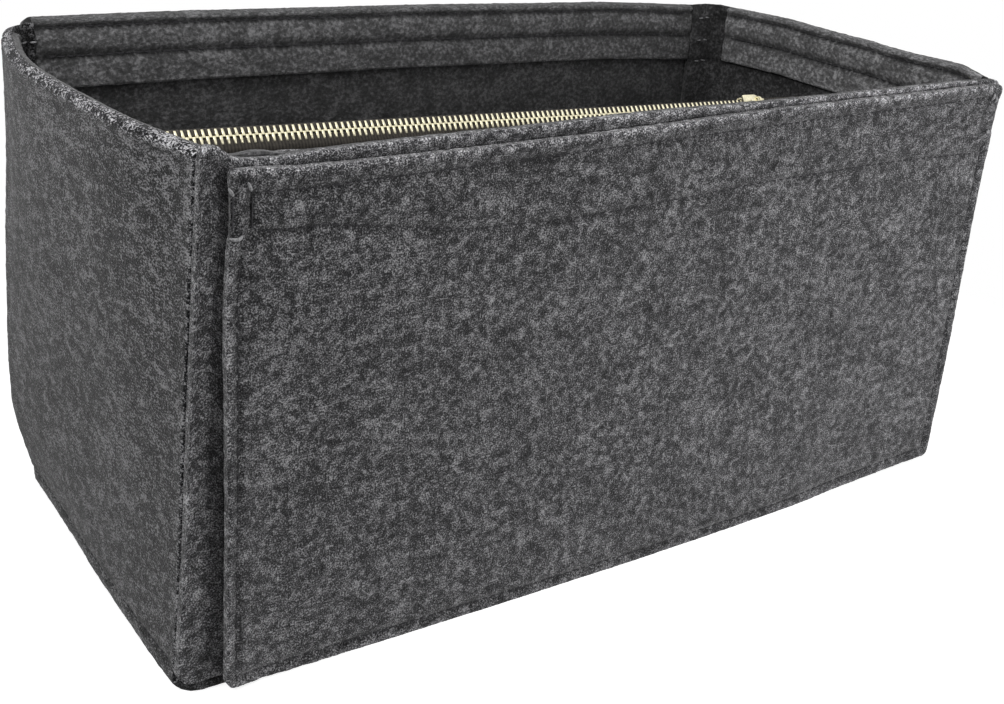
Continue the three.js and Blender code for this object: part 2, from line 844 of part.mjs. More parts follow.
const sink = sliderPlate / 2;
const barBottom = plateTop + bridgeOpening;
const barTop = barBottom + bridgeBar;
const bridge = cut(
  bridgeSlab(
    [
      [-bridgeLength / 2, plateTop - sink],
      [bridgeLength / 2, plateTop - sink],
      [bridgeLength / 2, barTop, bridgeRound],
      [-bridgeLength / 2, barTop, bridgeRound],
    ],
    bridgeHalfWidth,
  ),
  [
    bridgeSlab(
      [
        [bridgeLeg - bridgeLength / 2, plateTop - sink - overrun],
        [bridgeLength / 2 - bridgeLeg, plateTop - sink - overrun],
        [bridgeLength / 2 - bridgeLeg, barBottom],
        [bridgeLeg - bridgeLength / 2, barBottom],
      ],
      bridgeHalfWidth + overrun,
    ),
  ],
);

const flanges = [-1, 1].flatMap((side) =>
  [-1, 1].map((face) => {
    const across = [side * flangeInnerReach, side * sliderHalfWidth].sort((a, b) => a - b);
    const normal = [face * flangeGapHalf, face * (sliderThroatHalf + sink)].sort((a, b) => a - b);
    return box(sliderTail + sliderPlate, sliderShoulder - sliderPlate, ...across, ...normal);
  }),
);

addPiece(
  "slider_body",
  join([
    sliderPlateAt(sliderThroatHalf),
    sliderPlateAt(-plateTop),
    box(
      sliderNose - postLength,
      sliderNose - sink,
      -postHalfWidth,
      postHalfWidth,
      -sliderThroatHalf - sink,
      sliderThroatHalf + sink,
    ),
    bridge,
    ...flanges,
  ]),
  brass,
  slider,
);

// Pull: a flat tab whose eye goes round the bridge's bar, hanging over the front sheet's top edge
const pullOutline = new THREE.Shape();
pullOutline.absarc(0, 0, pullEyeRadius, 0, Math.PI, false);
pullOutline.lineTo(-pullEyeRadius, -pullNeckLength);
pullOutline.lineTo(-pullTipHalfWidth, -pullNeckLength - pullTipHalfWidth);
pullOutline.lineTo(-pullTipHalfWidth, pullTipHalfWidth - pullLength);
pullOutline.absarc(0, pullTipHalfWidth - pullLength, pullTipHalfWidth, Math.PI, Math.PI * 2, false);
pullOutline.lineTo(pullTipHalfWidth, -pullNeckLength - pullTipHalfWidth);
pullOutline.lineTo(pullEyeRadius, -pullNeckLength);
pullOutline.closePath();
const eyeHole = new THREE.Path();
eyeHole.absarc(0, 0, pullHoleRadius, 0, Math.PI * 2, true);
pullOutline.holes.push(eyeHole);

const pull = addPiece(
  "slider_pull",
  new THREE.ExtrudeGeometry(pullOutline, { depth: pullThickness, bevelEnabled: false, curveSegments: 8 })
    .translate(0, 0, -pullThickness / 2)
    .applyMatrix4(
      new THREE.Matrix4().makeBasis(
        new THREE.Vector3(0, 0, 1),
        new THREE.Vector3(0, 1, 0),
        new THREE.Vector3(-1, 0, 0),
      ),
    ),
  brass,
  slider,
);
pull.position.set(0, 0, barBottom + bridgeBar / 2);
pull.rotation.x = -pullRestAngle;

export default part;
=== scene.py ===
"""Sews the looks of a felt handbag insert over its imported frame: felt sheets, seams, a brass zip
and a plain studio. Lengths are in metres."""

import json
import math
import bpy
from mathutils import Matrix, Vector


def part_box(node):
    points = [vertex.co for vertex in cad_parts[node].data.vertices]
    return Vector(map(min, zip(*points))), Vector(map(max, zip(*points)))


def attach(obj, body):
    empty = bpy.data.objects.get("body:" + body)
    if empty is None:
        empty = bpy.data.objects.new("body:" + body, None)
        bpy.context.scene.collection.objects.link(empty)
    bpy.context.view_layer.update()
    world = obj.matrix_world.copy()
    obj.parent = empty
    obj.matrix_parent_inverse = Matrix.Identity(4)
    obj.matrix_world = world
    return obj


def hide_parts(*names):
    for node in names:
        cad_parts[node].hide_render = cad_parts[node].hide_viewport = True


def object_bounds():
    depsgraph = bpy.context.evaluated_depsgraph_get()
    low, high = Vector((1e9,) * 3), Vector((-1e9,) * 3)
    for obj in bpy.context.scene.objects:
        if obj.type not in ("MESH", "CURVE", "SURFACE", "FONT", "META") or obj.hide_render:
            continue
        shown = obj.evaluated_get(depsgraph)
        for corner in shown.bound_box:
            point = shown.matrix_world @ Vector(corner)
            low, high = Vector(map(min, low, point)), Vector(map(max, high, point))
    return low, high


bl_info = {
    "name": "Felt Handbag Insert",
    "version": (1, 0, 0),
    "blender": (4, 5, 0),
    "location": "3D View > Sidebar > Insert",
    "description": "Dresses the packed frame of a felt handbag insert with felt, seams, a zip and a studio",
    "category": "Object",
}

import bpy
import numpy as np
from mathutils import Matrix, Vector

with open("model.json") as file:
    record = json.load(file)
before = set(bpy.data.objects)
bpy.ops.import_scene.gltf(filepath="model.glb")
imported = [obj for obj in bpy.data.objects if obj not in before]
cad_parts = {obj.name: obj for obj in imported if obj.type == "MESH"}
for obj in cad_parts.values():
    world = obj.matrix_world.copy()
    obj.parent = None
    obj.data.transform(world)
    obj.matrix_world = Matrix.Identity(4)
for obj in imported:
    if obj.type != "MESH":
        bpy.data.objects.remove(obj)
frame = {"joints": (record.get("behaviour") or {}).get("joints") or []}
CAD_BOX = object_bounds()

X, Y, Z = 0, 1, 2


def span(node, axis):
    """The lowest and highest place of a node along an axis."""
    low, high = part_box(node)
    return low[axis], high[axis]


# Places read from the frame
LEFT_EDGE, RIGHT_EDGE = CAD_BOX[0].x, CAD_BOX[1].x
REAR_RIM = CAD_BOX[1].y
POCKET_LEFT, POCKET_RIGHT = span("pocket_panel", X)
POCKET_FACE = span("pocket_panel", Y)[0]
POCKET_FOOT, POCKET_TOP = span("pocket_panel", Z)
BODY_FACE, BODY_INNER = span("front_body_panel", Y)
BODY_FOOT = span("front_body_panel", Z)[0]
BASE_TOP = span("base_panel", Z)[1]
SHEET_START = span("left_end_panel", Y)[0]
FELT = BODY_INNER - BODY_FACE
LAYER_GAP = SHEET_START - BODY_INNER
SEAT_GAP = BODY_FOOT - BASE_TOP
ZIP_SLIDE = next(joint for joint in frame["joints"] if joint["type"] == "slide")
ZIP_SLOPE = math.atan2(ZIP_SLIDE["axis"][Z], -ZIP_SLIDE["axis"][X])

# Heights of the rim and leans of the walls
FRONT_TOP = 0.162
RAISED_RIM_LENGTH = 0.045
REAR_LEAN = 0.0035
REAR_FOOT = REAR_RIM - REAR_LEAN
REAR_PANEL_STEP = 0.014
REAR_LEFT_SHIFT = 0.0034
REAR_FOLLOW_LENGTH = 0.03
CORNER_RADIUS = 0.013
LAP_LENGTH = 0.005
LEFT_LAP_LENGTH = 0.0005
WALL_HEIGHT = FRONT_TOP - BODY_FOOT
LAP_FOOT_FACE = REAR_FOOT - FELT - LAYER_GAP / 2
STRAIGHT_LENGTH = LAP_FOOT_FACE - CORNER_RADIUS - SHEET_START

# Bands inside the rim
BAND_HEIGHT = 0.0247
BAND_DROP = 0.0001
BAND_SEAM_DEPTHS = (0.0031, 0.0136)
BAND_BEND_REACH = 0.002
BAND_INSET = FELT + LAYER_GAP / 4
BAND_LEVEL_INSET = FELT + LAYER_GAP
RIM_MIDDLE = (BAND_INSET + FELT) / 2
RIM_ROLL = 0.0014
FRONT_ROLL = 0.0006

# Seams: how far from its line each presses the felt, how many times deeper a band's lies, how strongly
# painted shade darkens the felt in a seam's groove and along a painted shade line, and how deep stitches sink
# as a share of the seams' pull
SEAM_REACH = 0.0011
BAND_SEAM_REACH = 0.0017
BAND_SEAM_PRESS = 1.6
TACK_REACH = 0.0019
SEAM_PAINTED_SHADE = 0.25
LINE_PAINTED_SHADE = 0.75
SINK_SHARE = 0.75

# Finer rows of a sheet's grid: their step, and how far they run in from an edge. At a band's foot and a
# pocket's hem, where they start and end and their step.
FINE_STEP = 0.0009
POCKET_FINE_STEP = 0.0008
FINE_REACH = 0.008
BAND_FOOT_ROWS = (-0.003, 0.001, 0.0006)
BAND_SEAM_ROWS_DEPTH = 0.017
POCKET_HEM_ROWS = (0.129, 0.143, 0.001)
POCKET_RIM_ROWS_DEPTH = 0.01
ZIP_SEAM_ROWS_DEPTH = 0.009

# Steps of the coarser or narrower sheets' grids, the first two as shares of the set step
BASE_STEP_SHARE = 1.6
POUCH_STEP_SHARE = 1.3
BAND_ROW_STEP = 0.001
TAPE_ROW_STEP = 0.0006
TAPE_COLUMN_STEP = 0.002

# Seams of the pocket and the foot
POCKET_SEAM_MARGIN = 0.0042
FOOT_SEAM_HEIGHT = 0.005
FOOT_SEAM_MARGIN = 0.002
BAND_SEAM_MARGIN = 0.0015
TACK_DEPTH = 0.0062
TACK_LENGTH = 0.0118
TACK_WIDTH = 0.0060
TACK_PRESS = (1.25, 1.25, 0.6, 0.6)

# Zip
ZIP_TILT = math.radians(51)
ROW_REACH = 0.0028
ROW_SAG = math.radians(8)
ROW_TOP_REACH = 0.0031
TOOTH_PITCH = 0.0023
TAPE_THICKNESS = 0.0006
TAPE_INNER_REACH = 0.0005
TAPE_FLAT_REACH = 0.0046
TAPE_DROP = 0.011
ZIP_SEAM_DEPTH = 0.00575
ZIP_SEAM_MARGIN = 0.006
REAR_SHEET_RISE = -0.0004
FRONT_SHEET_FALL = 0.0045


# Settings that a user would change
def length_setting(name, description, default, least, most):
    return bpy.props.FloatProperty(
        name=name, description=description, default=default, min=least, max=most, unit="LENGTH"
    )


def colour_setting(name, description, default):
    return bpy.props.FloatVectorProperty(
        name=name, description=description, default=default, min=0, max=1, size=4, subtype="COLOR"
    )


def power_setting(name, description, default):
    return bpy.props.FloatProperty(
        name=name, description=description, default=default, min=0.0, max=200.0, unit="POWER"
    )


class FeltSettings(bpy.types.PropertyGroup):
    light: colour_setting(
        "Light fibres", "Colour of the pale fibres in the melange", (0.445, 0.442, 0.455, 1)
    )
    mid: colour_setting("Middle grey", "Colour of most of the felt", (0.043, 0.0425, 0.0455, 1))
    dark: colour_setting(
        "Dark fibres", "Colour of the dark fibres in the melange", (0.003, 0.003, 0.0035, 1)
    )
    grid_step: length_setting(
        "Sheet grid", "Spacing of a sheet's mesh along its length", 0.0014, 0.0008, 0.01
    )
    edge_round: length_setting(
        "Edge rounding", "How far the cut edges of the felt are rounded over", 0.00135, 0.0, 0.0014
    )
    nap: length_setting("Nap", "How uneven the felt's surface is", 0.0007, 0.0, 0.002)


class SeamSettings(bpy.types.PropertyGroup):
    stitch: length_setting("Stitch length", "Length of one visible stitch", 0.0029, 0.001, 0.008)
    pitch: length_setting("Stitch pitch", "Distance from one stitch to the next", 0.0035, 0.0015, 0.01)
    thread: length_setting("Thread", "Diameter of the sewing thread", 0.0005, 0.0002, 0.001)
    pull: length_setting("Pull", "How deep a seam draws the felt in", 0.0008, 0.0, 0.0015)


class ZipSettings(bpy.types.PropertyGroup):
    tooth_width: length_setting("Tooth width", "Width of a tooth along the chain", 0.00112, 0.0003, 0.0014)
    tooth_height: length_setting(
        "Tooth height", "Height of a tooth square to the chain", 0.0016, 0.0005, 0.002
    )
    metal: colour_setting(
        "Zip metal", "Colour of the teeth, the stops, the slider and the pull", (0.94, 0.88, 0.64, 1)
    )


class StudioSettings(bpy.types.PropertyGroup):
    key_power: power_setting("Overhead light", "Power of the large lamp overhead, in watts", 2.2)
    front_power: power_setting("Front light", "Power of the lamp in front, in watts", 1.56)
    side_power: power_setting("Side light", "Power of the lamp at the left, in watts", 0.95)
    sky: bpy.props.FloatProperty(
        name="Sky",
        description="Strength of the even light from all round",
        min=0.0,
        max=2.0,
        default=0.2,
    )


SETTINGS = {
    "insert_felt": FeltSettings,
    "insert_seams": SeamSettings,
    "insert_zip": ZipSettings,
    "insert_studio": StudioSettings,
}


# Selecting, applying and moving points
SMOOTH_ANGLE = math.radians(50)


def select_only(piece):
    bpy.ops.object.select_all(action="DESELECT")
    piece.select_set(True)
    bpy.context.view_layer.objects.active = piece


def apply_modifiers(piece):
    select_only(piece)
    for modifier in list(piece.modifiers):
        bpy.ops.object.modifier_apply(modifier=modifier.name)


def round_edges(piece, width, segments, angle=None):
    """Rounds over the edges that turn by more than an angle in degrees, or else those that are marked."""
    bevel = piece.modifiers.new("rounding", "BEVEL")
    bevel.width = width
    bevel.segments = segments
    bevel.limit_method = "ANGLE" if angle else "WEIGHT"
    if angle:
        bevel.angle_limit = math.radians(angle)
    apply_modifiers(piece)


def repeat_along(piece, count, pitch):
    """Repeats a piece along X."""
    row = piece.modifiers.new("row", "ARRAY")
    row.count = count
    row.use_relative_offset = False
    row.use_constant_offset = True
    row.constant_offset_displace = (pitch, 0, 0)
    apply_modifiers(piece)


def points_of(piece):
    points = np.empty(len(piece.data.vertices) * 3)
    piece.data.vertices.foreach_get("co", points)
    return points.reshape(-1, 3)


def move_points(piece, points):
    piece.data.vertices.foreach_set("co", np.ascontiguousarray(points, dtype=float).ravel())
    piece.data.update()


def name_piece(piece, name):
    piece.name = name
    piece.data.name = name
    return piece


def finish_piece(piece, material, body="insert", nodes=()):
    """Gives a piece its material and tells the frame its body and the nodes that it replaces."""
    piece.data.materials.clear()
    piece.data.materials.append(material)
    select_only(piece)
    bpy.ops.object.shade_smooth_by_angle(angle=SMOOTH_ANGLE)
    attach(piece, body)
    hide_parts(*nodes)
    return piece


# Smooth steps, used to shape felt
def blend_in(value, start, end):
    """0 before the start and 1 after the end, with a smooth step between."""
    t = np.clip((value - start) / (end - start), 0, 1)
    return t * t * (3 - 2 * t)


def swell(value, middle, width):
    """1 in the middle, fading to 0 on both sides."""
    return np.exp(-(((value - middle) / width) ** 2))


# Walls. Each takes places on a flat sheet, as along, up and out, to where they lie on the insert.
RIM_ROLL_HEIGHT = 0.006
MOST_ROLL = 1.5
EASING_STEPS = (-0.008, -0.004, 0, 0.004, 0.008)


def lifted(up, out, top, middle=RIM_MIDDLE, reach=RIM_ROLL):
    """The height of a place on a wall. At the rim the wall and its band roll over as one soft edge."""
    extra = top - BODY_FOOT - WALL_HEIGHT
    fallen = reach * np.minimum(((out + middle) / middle) ** 2, MOST_ROLL)
    roll = fallen * blend_in(up, WALL_HEIGHT - RIM_ROLL_HEIGHT, WALL_HEIGHT)
    return BODY_FOOT + up + extra * np.clip(2 * up / WALL_HEIGHT, 0, 1) - roll


def smooth_line(value, table):
    """The value of a table of places and reaches, with its corners eased."""
    return np.mean([np.interp(value + aside, *table) for aside in EASING_STEPS], axis=0)


# Heights of the rims, along X for the front and rear walls and along Y for the end walls
FRONT_RIM = (
    (-0.172, -0.1705, -0.1664, -0.1636, -0.161, -0.156, -0.145, -0.134, -0.116)
    + (-0.095, -0.050, -0.020, 0, 0.03, 0.06, 0.15, 0.172),
    (0.1654, 0.1668, 0.1667, 0.1650, 0.1632, 0.1625, 0.1621, 0.1626, 0.1629)
    + (0.1631, 0.1632, 0.1636, 0.1637, 0.1633, 0.1631, 0.1631, 0.1625),
)
REAR_TOP = (
    (-0.158, -0.15, -0.12, -0.09, -0.05, 0, 0.03, 0.07, 0.10, 0.125, 0.14, 0.158),
    (0.1692, 0.1692, 0.16925, 0.1691, 0.1685, 0.1679, 0.1672, 0.1662, 0.1656, 0.1643, 0.1633, 0.1622),
)
RIGHT_TOP = (
    (-0.076, -0.0695, -0.063, -0.052, -0.041, -0.030, -0.019)
    + (0.003, 0.014, 0.026, 0.0385, 0.057, 0.075, 0.083),
    (0.1618, 0.1631, 0.1644, 0.1642, 0.1638, 0.1641, 0.1647)
    + (0.1648, 0.1649, 0.1651, 0.1646, 0.1636, 0.1624, 0.1616),
)
LEFT_TOP = (
    (-0.076, -0.030, 0, 0.020, 0.050, 0.083),
    (0.1652, 0.1653, 0.1651, 0.1653, 0.1660, 0.1665),
)


# How far the foot of the front bows out along it
FRONT_BOW = (
    (-0.160, -0.145, -0.10, -0.06, 0, 0.04, 0.08, 0.105, 0.14),
    (0, 0.0008, 0.0014, 0.0024, 0.0032, 0.0030, 0.0024, 0.0010, 0),
)
FRONT_BOW_HEIGHT = 0.1

# The bump of the band behind the front rim near the left corner, and how high the left foot's flare reaches
BAND_BUMP_PLACE = -0.151
BAND_BUMP_WIDTH = 0.008
BAND_BUMP_RISE = 0.0018
BAND_BUMP_DEPTH = 0.012
FLARE_SHARE = 0.3


def foot_bow(along, z):
    """How far the front and the pocket bow out at a height."""
    return np.interp(along, *FRONT_BOW) * (1 - blend_in(z, 0, FRONT_BOW_HEIGHT))


def front_wall(along, up, out):
    """The front wall's foot bows out, and near the left corner it leans in and its rim rises."""
    near_corner = np.clip((LEFT_EDGE + RAISED_RIM_LENGTH - along) / RAISED_RIM_LENGTH, 0, 1)
    top = np.interp(along, *FRONT_RIM)
    behind = blend_in(-out, FELT, BAND_LEVEL_INSET) * blend_in(up, WALL_HEIGHT - BAND_BUMP_DEPTH, WALL_HEIGHT)
    bump = BAND_BUMP_RISE * behind * swell(along, BAND_BUMP_PLACE, BAND_BUMP_WIDTH)
    z = lifted(up, out, top, FELT / 2, FRONT_ROLL) + bump
    share = (z - BODY_FOOT) / (top - BODY_FOOT)
    flare = LEFT_TUCK[1][0] * (1 - blend_in(share, 0, FLARE_SHARE))
    x = along + (LEFT_RIM[1][0] * share + flare) * near_corner
    return np.column_stack([x, BODY_FACE - out - foot_bow(along, z), z])


def rear_wall(along, up, out):
    """The rear wall leans back, and its left edge follows the left wall where that swells out."""
    top = np.interp(along, *REAR_TOP)
    z = lifted(up, out, top)
    share = (z - BODY_FOOT) / (top - BODY_FOOT)
    near_corner = np.clip((REAR_LEFT + REAR_FOLLOW_LENGTH - along) / REAR_FOLLOW_LENGTH, 0, 1)
    x = along - LEFT_WALL.swollen(share) * near_corner
    return np.column_stack([x, REAR_FOOT + REAR_LEAN * share + out, z])


# How far in the rim of each end wall stands along it, from front to rear
LEFT_RIM = (
    (-0.076, -0.069, -0.061, -0.050, -0.033, -0.015, 0.008)
    + (0.021, 0.030, 0.039, 0.049, 0.058, 0.066, 0.083),
    (0.0062, 0.0056, 0.0038, 0.0014, -0.0007, -0.0013, -0.0020)
    + (-0.0023, -0.0018, -0.0010, 0.0007, 0.0034, 0.0062, 0.0070),
)
RIGHT_RIM = (
    (-0.076, -0.064, -0.050, -0.036, -0.010, 0.012, 0.035, 0.057, 0.080),
    (0, -0.0008, -0.0018, 0, 0.0020, 0.0026, 0.0020, 0.0010, 0.0003),
)
# How far the foot of each end wall turns in along it
LEFT_TUCK = (
    (-0.076, -0.052, -0.028, -0.004, 0.019, 0.043, 0.067, 0.083),
    (-0.0010, -0.0010, -0.0004, 0.0006, 0.0022, 0.0032, 0.0040, 0.0042),
)
RIGHT_TUCK = ((-0.076, 0.083), (0, 0))


# How high up an end wall's foot turns in, how its lean grows with height, and where its corner starts to rise
# and stops, from the start of the bend
FOOT_TURN_SHARE = 0.2
LEAN_POWER = 1.25
CORNER_RISE_REACH = (-0.010, 0.018)


class EndWall:
    """An end wall. It runs back from the front wall, bends round the rear corner and laps the rear wall.
    Its tuck is how far the foot turns in, its bellies where and how far it swells out at the rear, and its
    corner rise how far it stands up at the corner."""

    def __init__(self, edge, inward, foot_rear, rim, heights, lap, tuck, bellies=(), corner_rise=0.0):
        self.edge = edge
        self.inward = inward
        self.foot_rear = foot_rear
        self.rim = rim
        self.heights = heights
        self.tuck = tuck
        self.path_length = STRAIGHT_LENGTH + CORNER_RADIUS * math.pi / 2 + lap
        self.bellies = bellies
        self.corner_rise = corner_rise

    def back(self, y):
        return (y - SHEET_START) / (REAR_RIM - SHEET_START)

    def top(self, y):
        return np.interp(y, *self.heights)

    def share(self, y, z):
        return (z - BODY_FOOT) / (self.top(y) - BODY_FOOT)

    def swollen(self, share):
        """How far it swells out beside the rear wall."""
        return sum(reach * swell(share, middle, width) for middle, width, reach in self.bellies)

    def face(self, y, share):
        """How far out the face stands at a depth along Y and a share of the height."""
        foot = self.foot_rear * self.back(y)
        turned = np.interp(y, *self.tuck) * (1 - blend_in(share, 0, FOOT_TURN_SHARE))
        swollen = self.swollen(share) * self.back(y)
        leant = (smooth_line(y, self.rim) - foot) * np.clip(share, 0, 2) ** LEAN_POWER
        return self.edge + self.inward * (foot + leant + turned - swollen)

    def __call__(self, along, up, out):
        rim_y = SHEET_START + np.minimum(along, STRAIGHT_LENGTH)
        corner = self.corner_rise * blend_in(along - STRAIGHT_LENGTH, *CORNER_RISE_REACH)
        z = lifted(up, out, self.top(rim_y) + corner)
        share = self.share(rim_y, z)
        lap_face = LAP_FOOT_FACE + REAR_LEAN * share
        centre_y = lap_face - CORNER_RADIUS
        centre_x = self.face(lap_face, share) + self.inward * CORNER_RADIUS
        straight_y = SHEET_START + along / STRAIGHT_LENGTH * (centre_y - SHEET_START)
        straight_x = self.face(straight_y, share) - self.inward * out
        turn = np.clip((along - STRAIGHT_LENGTH) / CORNER_RADIUS, 0, math.pi / 2)
        past = np.maximum(along - STRAIGHT_LENGTH - CORNER_RADIUS * math.pi / 2, 0)
        bent_x = centre_x - self.inward * (CORNER_RADIUS + out) * np.cos(turn) + self.inward * past
        bent_y = centre_y + (CORNER_RADIUS + out) * np.sin(turn)
        bent = along > STRAIGHT_LENGTH
        return np.column_stack([np.where(bent, bent_x, straight_x), np.where(bent, bent_y, straight_y), z])


LEFT_WALL = EndWall(
    LEFT_EDGE,
    1,
    0.0075,
    LEFT_RIM,
    LEFT_TOP,
    LEFT_LAP_LENGTH,
    LEFT_TUCK,
    bellies=((0.27, 0.25, 0.0045), (0.58, 0.17, 0.0019)),
    corner_rise=0.0014,
)
RIGHT_WALL = EndWall(RIGHT_EDGE, -1, 0, RIGHT_RIM, RIGHT_TOP, LAP_LENGTH, RIGHT_TUCK)
END_WALLS = {"left": LEFT_WALL, "right": RIGHT_WALL}
LEFT_CORNER = LEFT_EDGE + float(smooth_line(REAR_RIM, LEFT_RIM))
REAR_LEFT = LEFT_CORNER + REAR_PANEL_STEP - REAR_LEFT_SHIFT
REAR_RIGHT = RIGHT_EDGE - REAR_PANEL_STEP


# How far the pocket's top edge stands above that of its node along its length, and how far its foot sags
# below, with the heights between which the first comes in and the second fades
POCKET_SAG = (
    (-0.160, -0.152, -0.138, -0.105, -0.072, -0.035, -0.004, 0.035, 0.107, 0.167),
    (0.0006, 0.0003, -0.0005, -0.0008, -0.0008, -0.0006, 0.0, 0.0010, 0.0012, 0.0011),
)
POCKET_FOOT_SAG = (
    (-0.160, -0.145, -0.115, -0.08, -0.04, 0.0, 0.04, 0.08, 0.105, 0.14, 0.160),
    (0, 0.0010, 0.0016, 0.0021, 0.0024, 0.0024, 0.0024, 0.0022, 0.0013, 0.0006, 0.0001),
)
POCKET_SAG_HEIGHTS = (0.05, 0.15)
POCKET_FOOT_SAG_HEIGHTS = (0, 0.08)


# How far the pocket's left edge springs off the wall, its top right corner curls, its top edge stands loose,
# the tack draws its left edge in and its right edge swells out
POCKET_SPRING = 0.0022
POCKET_CURL = 0.0012
POCKET_CURL_RISE_SHARE = 0.6
POCKET_LOOSENESS = 0.0006
POCKET_DRAW = 0.0012
POCKET_SWELLING = 0.0010


def pocket_wall(along, up, out):
    """The pocket hangs flat on the front wall. Its left edge springs off it and its right corner curls."""
    z = POCKET_FOOT + up + np.interp(along, *POCKET_SAG) * blend_in(up, *POCKET_SAG_HEIGHTS)
    z = z - np.interp(along, *POCKET_FOOT_SAG) * (1 - blend_in(up, *POCKET_FOOT_SAG_HEIGHTS))
    left = blend_in(along, POCKET_LEFT + 0.016, POCKET_LEFT)
    right = blend_in(along, POCKET_RIGHT - 0.05, POCKET_RIGHT)
    inside = blend_in(along, POCKET_LEFT + 0.012, POCKET_LEFT + 0.03)
    spring = POCKET_SPRING * left * blend_in(z, POCKET_TOP - 0.03, POCKET_FOOT + 0.05)
    curl = POCKET_CURL * right * blend_in(z, POCKET_TOP - 0.05, POCKET_TOP)
    loose = POCKET_LOOSENESS * inside * blend_in(z, POCKET_TOP - 0.014, POCKET_TOP)
    drawn = POCKET_DRAW * left * blend_in(z, POCKET_TOP - 0.04, POCKET_TOP - 0.012)
    x = along + POCKET_SWELLING * right * swell(z, 0.05, 0.04) + drawn
    y = POCKET_FACE - out - spring - curl - loose - foot_bow(along, z)
    return np.column_stack([x, y, z + POCKET_CURL_RISE_SHARE * curl])


BASE_MARGIN = 0.0012


def base_floor(along, up, out):
    """The base lies flat, its left edge inside the left wall's foot, its front edge bowed with the front."""
    back = (up - BODY_FACE) / (REAR_FOOT - BODY_FACE)
    left = np.clip((RIGHT_EDGE - along) / (RIGHT_EDGE - LEFT_EDGE), 0, 1)
    inset = (LEFT_WALL.foot_rear * back + np.interp(up, *LEFT_TUCK) + BASE_MARGIN) * left
    bow = np.interp(along, *FRONT_BOW) * (1 - back)
    return np.column_stack([along + inset, up - bow, BASE_TOP + out])


# Zip: its line, and how places along, across and square to the chain lie on the insert
def chain_centre():
    corners = [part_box(node) for node in ("zip_teeth_front", "zip_teeth_rear")]
    low = np.min([corner[0] for corner in corners], axis=0)
    high = np.max([corner[1] for corner in corners], axis=0)
    return (low + high) / 2


CHAIN_CENTRE = chain_centre()
ZIP_Y = float(CHAIN_CENTRE[Y])
ZIP_HEIGHT = float(CHAIN_CENTRE[Z] + CHAIN_CENTRE[X] * math.tan(ZIP_SLOPE))
ZIP_FRAME = Matrix.Translation((0, ZIP_Y, ZIP_HEIGHT)) @ Matrix.Rotation(ZIP_SLOPE, 4, "Y")
CHAIN_FRAME = ZIP_FRAME @ Matrix.Rotation(ZIP_TILT, 4, "X")


def zip_line(x):
    """The height of the sloping chain at a place along it."""
    return ZIP_HEIGHT - x * math.tan(ZIP_SLOPE)


def through(matrix, points):
    """Turns and moves points by a matrix."""
    turned = points @ np.array(matrix.to_3x3()).T
    return turned + np.array(matrix.translation)


def across_chain(across, square):
    """Depth and height from the chain, of a place across it and square to it."""
    y = across * math.cos(ZIP_TILT) - square * math.sin(ZIP_TILT)
    z = across * math.sin(ZIP_TILT) + square * math.cos(ZIP_TILT)
    return y, z


# A pouch sheet steps in over this height, just below a band's lower edge
BAND_STEP_HEIGHTS = (-0.0012, -0.0002)


class PouchWall:
    """A sheet of the zipped pouch, from end wall to end wall, stepping in where the end bands are."""

    def __init__(self, face, rise, towards):
        self.face = face
        self.rise = rise
        self.towards = towards

    def inner(self, wall, z):
        """Where the sheet meets the inside of an end wall."""
        band_edge = wall.top(self.face) - BAND_HEIGHT
        step = BAND_LEVEL_INSET * blend_in(z - band_edge, *BAND_STEP_HEIGHTS)
        return wall.face(self.face, wall.share(self.face, z)) + wall.inward * (FELT + SEAT_GAP + step)

    def __call__(self, along, up, out):
        share = up / WALL_HEIGHT
        top = zip_line(along) + self.rise
        z = BODY_FOOT + (top - BODY_FOOT) * share
        left = self.inner(LEFT_WALL, z)
        right = self.inner(RIGHT_WALL, z)
        x = left + (right - left) * (along - LEFT_EDGE) / (RIGHT_EDGE - LEFT_EDGE)
        return np.column_stack([x, self.face + self.towards * out, z])


POUCH_FRONT = PouchWall(span("pouch_front_sheet", Y)[0], -FRONT_SHEET_FALL, -1)
POUCH_REAR = PouchWall(span("pouch_rear_sheet", Y)[1], REAR_SHEET_RISE, 1)


# Felt sheets
def grid_places(start, end, step, fine=()):
    """Places from start to end, closer together inside the fine stretches."""
    places = [start]
    while places[-1] < end:
        here = places[-1]
        close = [fine_step for low, high, fine_step in fine if low - step < here < high]
        places.append(here + min([step, *close]))
    places = np.array(places)
    return start + (places - start) * (end - start) / (places[-1] - start)


def rounded_corners(points, low, high, radii):
    """Draws the square corners of a flat sheet in to arcs. The radii run round from the lower left."""
    points = points.copy()
    corners = ((low[0], low[1]), (high[0], low[1]), (high[0], high[1]), (low[0], high[1]))
    for (x, y), radius in zip(corners, radii):
        if not radius:
            continue
        side_x = 1 if x == low[0] else -1
        side_y = 1 if y == low[1] else -1
        p = 1 - side_x * (points[:, 0] - x) / radius
        q = 1 - side_y * (points[:, 1] - y) / radius
        near = (p > 0) & (q > 0)
        p, q = np.clip(p, 0, 1), np.clip(q, 0, 1)
        round_p, round_q = p * np.sqrt(1 - q * q / 2), q * np.sqrt(1 - p * p / 2)
        points[:, 0] = np.where(near, x + side_x * radius * (1 - round_p), points[:, 0])
        points[:, 1] = np.where(near, y + side_y * radius * (1 - round_q), points[:, 1])
    return points


def line_distance(points, path):
    """How far each flat place is from a seam's path."""
    nearest = np.full(len(points), np.inf)
    for start, end in zip(path[:-1], path[1:]):
        start, along = np.array(start), np.array(end) - np.array(start)
        t = np.clip(((points - start) @ along) / (along @ along), 0, 1)
        nearest = np.minimum(nearest, np.linalg.norm(points - start - t[:, None] * along, axis=1))
    return nearest


def mark(sheet, name, values, domain="POINT"):
    """Stores a number at each point or edge of a sheet's mesh."""
    marks = sheet.data.attributes.new(name, "FLOAT", domain)
    marks.data.foreach_set("value", values)


